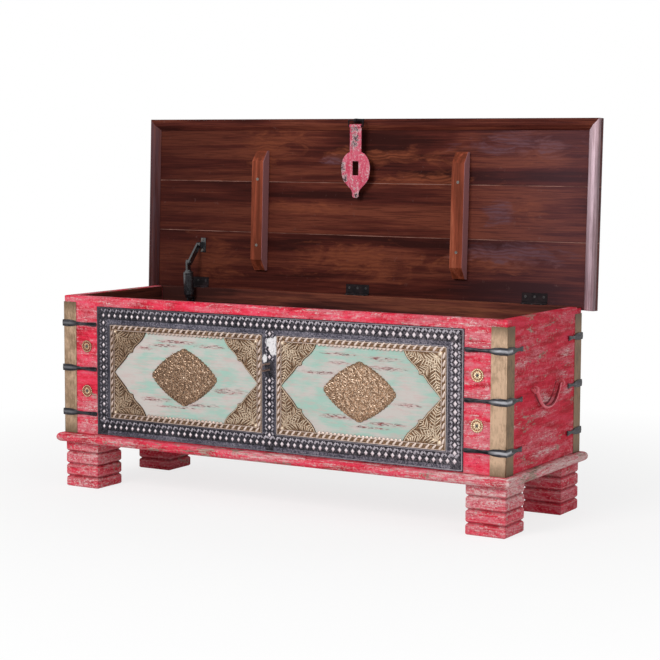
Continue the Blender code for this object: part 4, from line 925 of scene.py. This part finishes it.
def makeHasp():
    # the hasp with its edges dressed off
    bm = mergedCopy("hasp")
    sharp = [edge for edge in bm.edges
             if edge.is_manifold and edge.calc_face_angle(0) > radians(haspEdges["sharpest"])
             and edge.calc_length() > haspEdges["shortest"]]
    bmesh.ops.bevel(bm, geom=sharp, offset=haspEdges["bevel"], segments=2, profile=0.5, material=-1,
                    affect="EDGES", clamp_overlap=True)
    addPiece("haspBlade", bm, "hasp", haspPaint, 40, ("hasp",))


makeCornerBrasses()
makeLidBoards()
makeLidRim()
makeBattenScrews()
makeHingeScrews()
makeStayScrews()
makeHasp()
print("corner brasses and lid done")

def spaced(first, last, count):
    # places at even steps, with both ends among them
    return [first + (last - first) * index / (count - 1) for index in range(count)]


# strokes are their places above a row and their turns, with the shape of each
border = {"pitch": 0.0156, "lift": 0.0013, "rowTop": 0.396, "rowBottom": 0.1465, "columnX": 0.4385,
          "staple": 0.309, "stapleGap": 0.016, "overhang": 0.012, "diamond": (0.0052, 0.0066, 0.0022),
          "longBar": (0.008, 0.0046, 0.0017), "shortBar": (0.0064, 0.0034, 0.0013),
          "strokes": ((0.0046, 0.0108, 50, "longBar"), (-0.004, 0.0118, -50, "shortBar")),
          "columnStroke": 0.008, "columnTurn": -50, "lineWidth": 0.0014, "lineHeight": 0.001}
# the rectangles with a raised line round them: centre and half sizes
borderLines = ((0.0, 0.271, 0.4545, 0.1415), (-0.219, 0.271, 0.2022, 0.1067), (0.219, 0.271, 0.2022, 0.1067))
sidesOfBox = ((0, 1, 0), (0, -1, 0), (-1, 0, 90), (1, 0, 90))


def makeIronBorder():
    diamonds = bmesh.new()
    bars = bmesh.new()
    diamond = diamondShape(*border["diamond"])
    shapes = {name: barShape(*border[name]) for name in ("longBar", "shortBar")}
    pitch, lift, rowEnd = border["pitch"], border["lift"], border["columnX"]
    barLift = lift + 0.0004
    count = int(2 * rowEnd / pitch)
    for level in (border["rowTop"], border["rowBottom"]):
        for x in spaced(-rowEnd, rowEnd, count + 1):
            stamp(diamonds, diamond, onFront(x, level, lift))
            for dx, dz, angle, shape in border["strokes"]:
                if abs(x + dx) < rowEnd + border["overhang"]:
                    stamp(bars, shapes[shape], onFront(x + dx, level + dz, barLift, radians(angle)))
    rows = int((border["rowTop"] - border["rowBottom"]) / pitch)
    for column in (-rowEnd, 0.0, rowEnd):
        for z in spaced(border["rowBottom"], border["rowTop"], rows + 1)[1:-1]:
            if column == 0 and abs(z - border["staple"]) < border["stapleGap"]:
                continue
            stamp(diamonds, diamond, onFront(column, z, lift))
            for signZ in (-1, 1):
                for signX in (-1, 1):
                    turn = signX * signZ * radians(border["columnTurn"])
                    place = (column + signX * border["columnStroke"], z + signZ * pitch * 0.25)
                    stamp(bars, shapes["shortBar"], onFront(*place, barLift, turn))
    addPiece("borderDiamonds", diamonds, "chest", ironRaised, 20)
    for rectangle in borderLines:
        addLine(bars, *rectangle)
    addPiece("borderBars", bars, "chest", ironBars, 20)


def addLine(bm, centreX, centreZ, halfX, halfZ):
    # a raised line round a rectangle
    for signX, signZ, turn in sidesOfBox:
        bar = barShape(2 * (halfZ if signX else halfX), border["lineWidth"], border["lineHeight"])
        stamp(bm, bar, onFront(centreX + signX * halfX, centreZ + signZ * halfZ, border["lift"] + 0.0003,
                               radians(turn)))


stapleSeat = {"size": (0.0117, 0.0011, 0.0247), "lift": 0.0009, "bevel": 0.0003}


def makeStapleSeat():
    # fills the cut-out round the staple's legs
    low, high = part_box("staple")
    bm = bmesh.new()
    bmesh.ops.create_cube(bm, size=1, matrix=Matrix.Translation(
        (0, frontY - stapleSeat["lift"], (low[2] + high[2]) / 2)) @ Matrix.Diagonal((*stapleSeat["size"], 1)))
    bmesh.ops.bevel(bm, geom=bm.edges[:], offset=stapleSeat["bevel"], segments=2, profile=0.5, material=-1,
                    affect="EDGES")
    addPiece("stapleSeat", bm, "chest", ironPlate)


makeIronBorder()
makeStapleSeat()
print("iron border done")

frameSizes = {"centreX": 0.219, "centreZ": 0.271, "halfX": 0.2002, "halfZ": 0.1047, "lift": 0.0028}
rope = {"bead": (0.015, 0.0056, 0.0018, 0.14), "tooth": (0.006, 0.009, 0.0016),
        "levelCount": 26, "levelMargin": 0.011, "levelInset": 0.0052, "levelRoot": (-0.0054, -0.0038),
        "levelTurn": 34,
        "uprightCount": 12, "uprightMargin": 0.018, "uprightInset": 0.0054,
        "uprightRoot": (-0.0036, -0.0058), "uprightTurn": 58,
        "toothCount": 21, "toothHalf": 0.096, "toothInset": 0.0096, "lineWidth": 0.0013,
        "lineHeight": 0.0009, "lines": ((0.001, 0.001), (0.011, 0.024))}


def makeBrassFrame(side, sign):
    # a twisted rope between two lines, with teeth in the middle of the long sides
    centreX, centreZ = sign * frameSizes["centreX"], frameSizes["centreZ"]
    halfX, halfZ, lift = frameSizes["halfX"], frameSizes["halfZ"], frameSizes["lift"]
    bm = bmesh.new()
    bead, tooth = leafShape(*rope["bead"]), leafShape(*rope["tooth"])
    reachX, reachZ = halfX - rope["levelMargin"], halfZ - rope["uprightMargin"]
    for level in (-1, 1):
        dx, dz = rope["levelRoot"]
        z = centreZ + level * (halfZ - rope["levelInset"])
        for x in spaced(centreX - reachX, centreX + reachX, rope["levelCount"]):
            stamp(bm, bead, onFront(x + dx, z + dz, lift, radians(rope["levelTurn"])))
        z = centreZ + level * (halfZ - rope["toothInset"])
        for x in spaced(centreX - rope["toothHalf"], centreX + rope["toothHalf"], rope["toothCount"]):
            stamp(bm, tooth, onFront(x, z, lift, radians(-90 * level)))
        dx, dz = rope["uprightRoot"]
        x = centreX + level * (halfX - rope["uprightInset"])
        for z in spaced(centreZ - reachZ, centreZ + reachZ, rope["uprightCount"]):
            stamp(bm, bead, onFront(x + dx, z + dz, lift, radians(rope["uprightTurn"])))
    for signX, signZ, turn in sidesOfBox:
        for inset, shorter in rope["lines"]:
            bar = barShape(2 * (halfZ if signX else halfX) - shorter, rope["lineWidth"], rope["lineHeight"])
            stamp(bm, bar, onFront(centreX + signX * (halfX - inset), centreZ + signZ * (halfZ - inset),
                                   lift + 0.0004, radians(turn)))
    addPiece("ropeBorder_" + side, bm, "chest", ropeBrass, 50)

    leaves = bmesh.new()
    for signX in (-1, 1):
        for signZ in (-1, 1):
            addCornerLeaves(leaves, centreX, centreZ, signX, signZ)
    addPiece("cornerLeaves_" + side, leaves, "chest", leafBrass, 50)


# the corner ornament, from the corner of the band inwards: its edge, and the ribs that carry leaflets
cornerEdge = ((0.0, 0.0895), (0.0065, 0.081), (0.0158, 0.0716), (0.0276, 0.0596), (0.0344, 0.0508),
              (0.0385, 0.046), (0.0475, 0.044), (0.049, 0.038), (0.0548, 0.0306), (0.064, 0.0234),
              (0.0724, 0.0158), (0.078, 0.008), (0.0815, 0.0))
cornerRibs = (((0.002, 0.004), (0.014, 0.01), (0.028, 0.015), (0.043, 0.016), (0.058, 0.012), (0.072, 0.005)),
              ((0.004, 0.002), (0.008, 0.016), (0.0115, 0.031), (0.012, 0.046), (0.009, 0.062),
               (0.004, 0.078)),
              ((0.003, 0.003), (0.014, 0.0165), (0.026, 0.028), (0.037, 0.0375), (0.0445, 0.0425)))
corner = {"inset": 0.0125, "edge": (0.0017, 0.0013), "rib": (0.0014, 0.0015), "overlap": 0.0008,
          "domes": ((0.006, 0.0013), (0.003, 0.0026)), "domePlace": (0.002, 0.002)}
leaflet = {"spacing": 0.0062, "length": 0.0175, "width": 0.0034, "height": 0.002, "turn": 40, "bend": 0.2,
           "cut": 0.0008, "shortest": 0.0045, "clearance": 0.0035}


def insideCorner(a, b):
    # whether a place lies between the band and the edge of the corner ornament
    if a < 0 or b < 0:
        return False
    points = ((0.0, 0.0),) + cornerEdge
    crossings = 0
    for (a1, b1), (a2, b2) in zip(points, points[1:] + points[:1]):
        if (b1 > b) != (b2 > b) and a < a1 + (b - b1) * (a2 - a1) / (b2 - b1):
            crossings += 1
    return crossings % 2 == 1


def alongLine(points, spacing):
    # places and directions at even steps along a line through points
    places = []
    carried = spacing
    for (a1, b1), (a2, b2) in zip(points, points[1:]):
        length = hypot(a2 - a1, b2 - b1)
        while carried <= length:
            share = carried / length
            places.append((a1 + (a2 - a1) * share, b1 + (b2 - b1) * share, atan2(b2 - b1, a2 - a1)))
            carried += spacing
        carried -= length
    return places


def leafletFits(a, b, turn, length, number):
    # whether a leaflet's tip is inside the corner and clear of the other ribs
    tipA, tipB = a + length * cos(turn), b + length * sin(turn)
    if not insideCorner(tipA, tipB):
        return False
    for other, rib in enumerate(cornerRibs):
        for ribA, ribB, angle in alongLine(rib, 0.003):
            if other != number and hypot(tipA - ribA, tipB - ribB) < leaflet["clearance"]:
                return False
    return True


def addCornerLeaves(bm, centreX, centreZ, signX, signZ):
    # three ribs with curled leaflets that fill the corner as far as its raised edge
    rootX = centreX + signX * (frameSizes["halfX"] - corner["inset"])
    rootZ = centreZ + signZ * (frameSizes["halfZ"] - corner["inset"])

    def place(a, b, angle, up=0.0):
        turn = atan2(-signZ * sin(angle), -signX * cos(angle))
        return onFront(rootX - signX * a, rootZ - signZ * b, frameSizes["lift"] + up, turn)

    for points, section in ((cornerEdge, corner["edge"]), *((rib, corner["rib"]) for rib in cornerRibs)):
        for (a1, b1), (a2, b2) in zip(points, points[1:]):
            length = hypot(a2 - a1, b2 - b1)
            stamp(bm, barShape(length + corner["overlap"], *section),
                  place((a1 + a2) / 2, (b1 + b2) / 2, atan2(b2 - b1, a2 - a1), 0.0003))
    for number, rib in enumerate(cornerRibs):
        for index, (a, b, angle) in enumerate(alongLine(rib, leaflet["spacing"])):
            for way in (-1, 1):
                turn = angle + way * radians(leaflet["turn"] + 7 * sin(index * 1.9 + number))
                length = leaflet["length"]
                while length > 0.003 and not leafletFits(a, b, turn, length, number):
                    length -= leaflet["cut"]
                if length > leaflet["shortest"]:
                    bend = leaflet["bend"] * way * signX * signZ
                    shape = leafShape(length, leaflet["width"], leaflet["height"], bend)
                    stamp(bm, shape, place(a, b, turn, 0.0001))
    for radius, height in corner["domes"]:
        stamp(bm, domeShape(radius, height, 14), place(*corner["domePlace"], 0.0))


makeBrassFrame("left", -1)
makeBrassFrame("right", 1)
print("brass frames done")

medallion = {"halfX": 0.086, "halfZ": 0.062, "power": 1.3, "lift": 0.0018, "scallops": 44, "points": 264,
             "rings": ((1.0, 0.001), (0.985, 0.0016), (0.965, 0.0007), (0.945, 0.0012), (0.6, 0.0015),
                       (0.25, 0.0016)),
             "curls": 430, "firstCurl": 14, "curl": 0.0098, "curlWidth": 0.24, "curlHeight": 0.0019,
             "edge": 0.9, "beads": ((8, 0.0056), (12, 0.0095))}
# the size and the bend of each kind of curl
curlKinds = ((1.0, 0.42), (0.8, -0.42), (0.9, 0.3), (0.7, -0.25))
goldenAngle = radians(137.508)


def lozengeReach(angle, power):
    return (abs(cos(angle)) ** power + abs(sin(angle)) ** power) ** (-1 / power)


def raisedRings(bm, steps):
    # carries the outline of a flat loop inwards, (share of its size, height) at a time
    edges = bm.edges[:]
    bmesh.ops.edgeloop_fill(bm, edges=edges)
    last = 1.0
    for share, height in steps:
        grown = bmesh.ops.extrude_edge_only(bm, edges=edges)["geom"]
        edges = [item for item in grown if isinstance(item, bmesh.types.BMEdge)]
        bmesh.ops.scale(bm, verts=vertsIn(grown), vec=(share / last, share / last, 1))
        for vert in vertsIn(grown):
            vert.co.z = height
        last = share
    cap = bmesh.ops.edgeloop_fill(bm, edges=edges)["faces"]
    bmesh.ops.poke(bm, faces=cap)


def makeMedallion(side, sign):
    # a scalloped plate, covered with curls that each stand a golden turn on from the last
    centreX, centreZ = sign * frameSizes["centreX"], frameSizes["centreZ"]
    plate = bmesh.new()
    bmesh.ops.create_circle(plate, cap_ends=False, segments=medallion["points"], radius=1)
    for vert in plate.verts:
        angle = atan2(vert.co.y, vert.co.x)
        reach = lozengeReach(angle, medallion["power"])
        reach *= 0.985 + 0.022 * abs(sin(angle * medallion["scallops"] / 2))
        tip = min(abs(remainder(angle, pi / 2)), 0.2)
        reach *= 1 + 0.03 * (1 - tip / 0.2) ** 2 if abs(cos(angle)) < 0.3 else 1
        vert.co = (medallion["halfX"] * reach * cos(angle), medallion["halfZ"] * reach * sin(angle), 0)
    raisedRings(plate, medallion["rings"])
    bmesh.ops.transform(plate, matrix=onFront(centreX, centreZ, medallion["lift"]), verts=plate.verts)
    addPiece("medallionPlate_" + side, plate, "chest", medallionPlateBrass, 60,
             ("medallion_" + side,))

    petals = bmesh.new()
    lift = medallion["lift"] + 0.0013
    curl = medallion["curl"]
    shapes = [leafShape(curl * size, curl * medallion["curlWidth"], medallion["curlHeight"], bend, 5)
              for size, bend in curlKinds]
    for index in range(medallion["firstCurl"], medallion["curls"]):
        angle = index * goldenAngle
        share = medallion["edge"] * sqrt(index / medallion["curls"])
        reach = lozengeReach(angle, medallion["power"]) * share
        x = centreX + medallion["halfX"] * reach * cos(angle)
        z = centreZ + medallion["halfZ"] * reach * sin(angle)
        turn = angle + 1.1 * sin(index * 2.3) + (pi if index % 3 == 0 else 0.4)
        stamp(petals, shapes[index % 4], onFront(x, z, lift, turn))
    bead = domeShape(0.0014, 0.0017, 6)
    for count, reach in medallion["beads"]:
        stampRound(petals, bead, count, centreX, centreZ, lift, reach)
    stamp(petals, domeShape(0.003, 0.003, 14), onFront(centreX, centreZ, lift))
    addPiece("medallionPetals_" + side, petals, "chest", medallionBrass, 50)


def stampRound(bm, shape, count, x, z, lift, reach):
    # copies of a shape in a ring round a place on the front
    for index in range(count):
        stamp(bm, shape, onFront(x, z, lift, 2 * pi * index / count) @ Matrix.Translation((reach, 0, 0)))


rosette = {"radius": 0.014, "points": 80, "lobes": 20, "bead": (0.0017, 0.0014, 8), "beadReach": 0.012,
           "petal": (0.0066, 0.0036, 0.0012), "petals": 10, "petalReach": 0.0026,
           "rings": ((1.0, 0.0008), (0.8, 0.0009), (0.74, 0.0005), (0.58, 0.0005), (0.52, 0.001),
                     (0.2, 0.0014)),
           "star": (0.0052, 0.0017, 0.001), "starPoints": 6}


def makeRosette(name):
    # a beaded rim, a gap with red left in it, and a flower with a dark star
    low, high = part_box(name)
    x, z = (low[0] + high[0]) / 2, (low[2] + high[2]) / 2
    bm = bmesh.new()
    disc = bmesh.new()
    bmesh.ops.create_circle(disc, cap_ends=False, segments=rosette["points"], radius=rosette["radius"])
    for vert in disc.verts:
        vert.co *= 0.94 + 0.06 * abs(cos(atan2(vert.co.y, vert.co.x) * rosette["lobes"] / 2))
    raisedRings(disc, rosette["rings"])
    stamp(bm, toMesh(disc, "disc"), onFront(x, z, 0.0003))
    stampRound(bm, domeShape(*rosette["bead"]), rosette["lobes"], x, z, 0.001, rosette["beadReach"])
    stampRound(bm, leafShape(*rosette["petal"]), rosette["petals"], x, z, 0.0013, rosette["petalReach"])
    addPiece(name.replace("rosette", "rosettePlate"), bm, "chest", rosetteBrass, 45,
             (name,))
    star = bmesh.new()
    stampRound(star, leafShape(*rosette["star"]), rosette["starPoints"], x, z, 0.0022, 0.0)
    stamp(star, domeShape(0.0017, 0.002, 10), onFront(x, z, 0.0022))
    addPiece(name.replace("rosette", "rosetteStar"), star, "chest", wornIron)


for side, sign in (("left", -1), ("right", 1)):
    makeMedallion(side, sign)
    for level in ("low", "high"):
        makeRosette("rosette_" + side + "_" + level)
print("medallions and rosettes done")
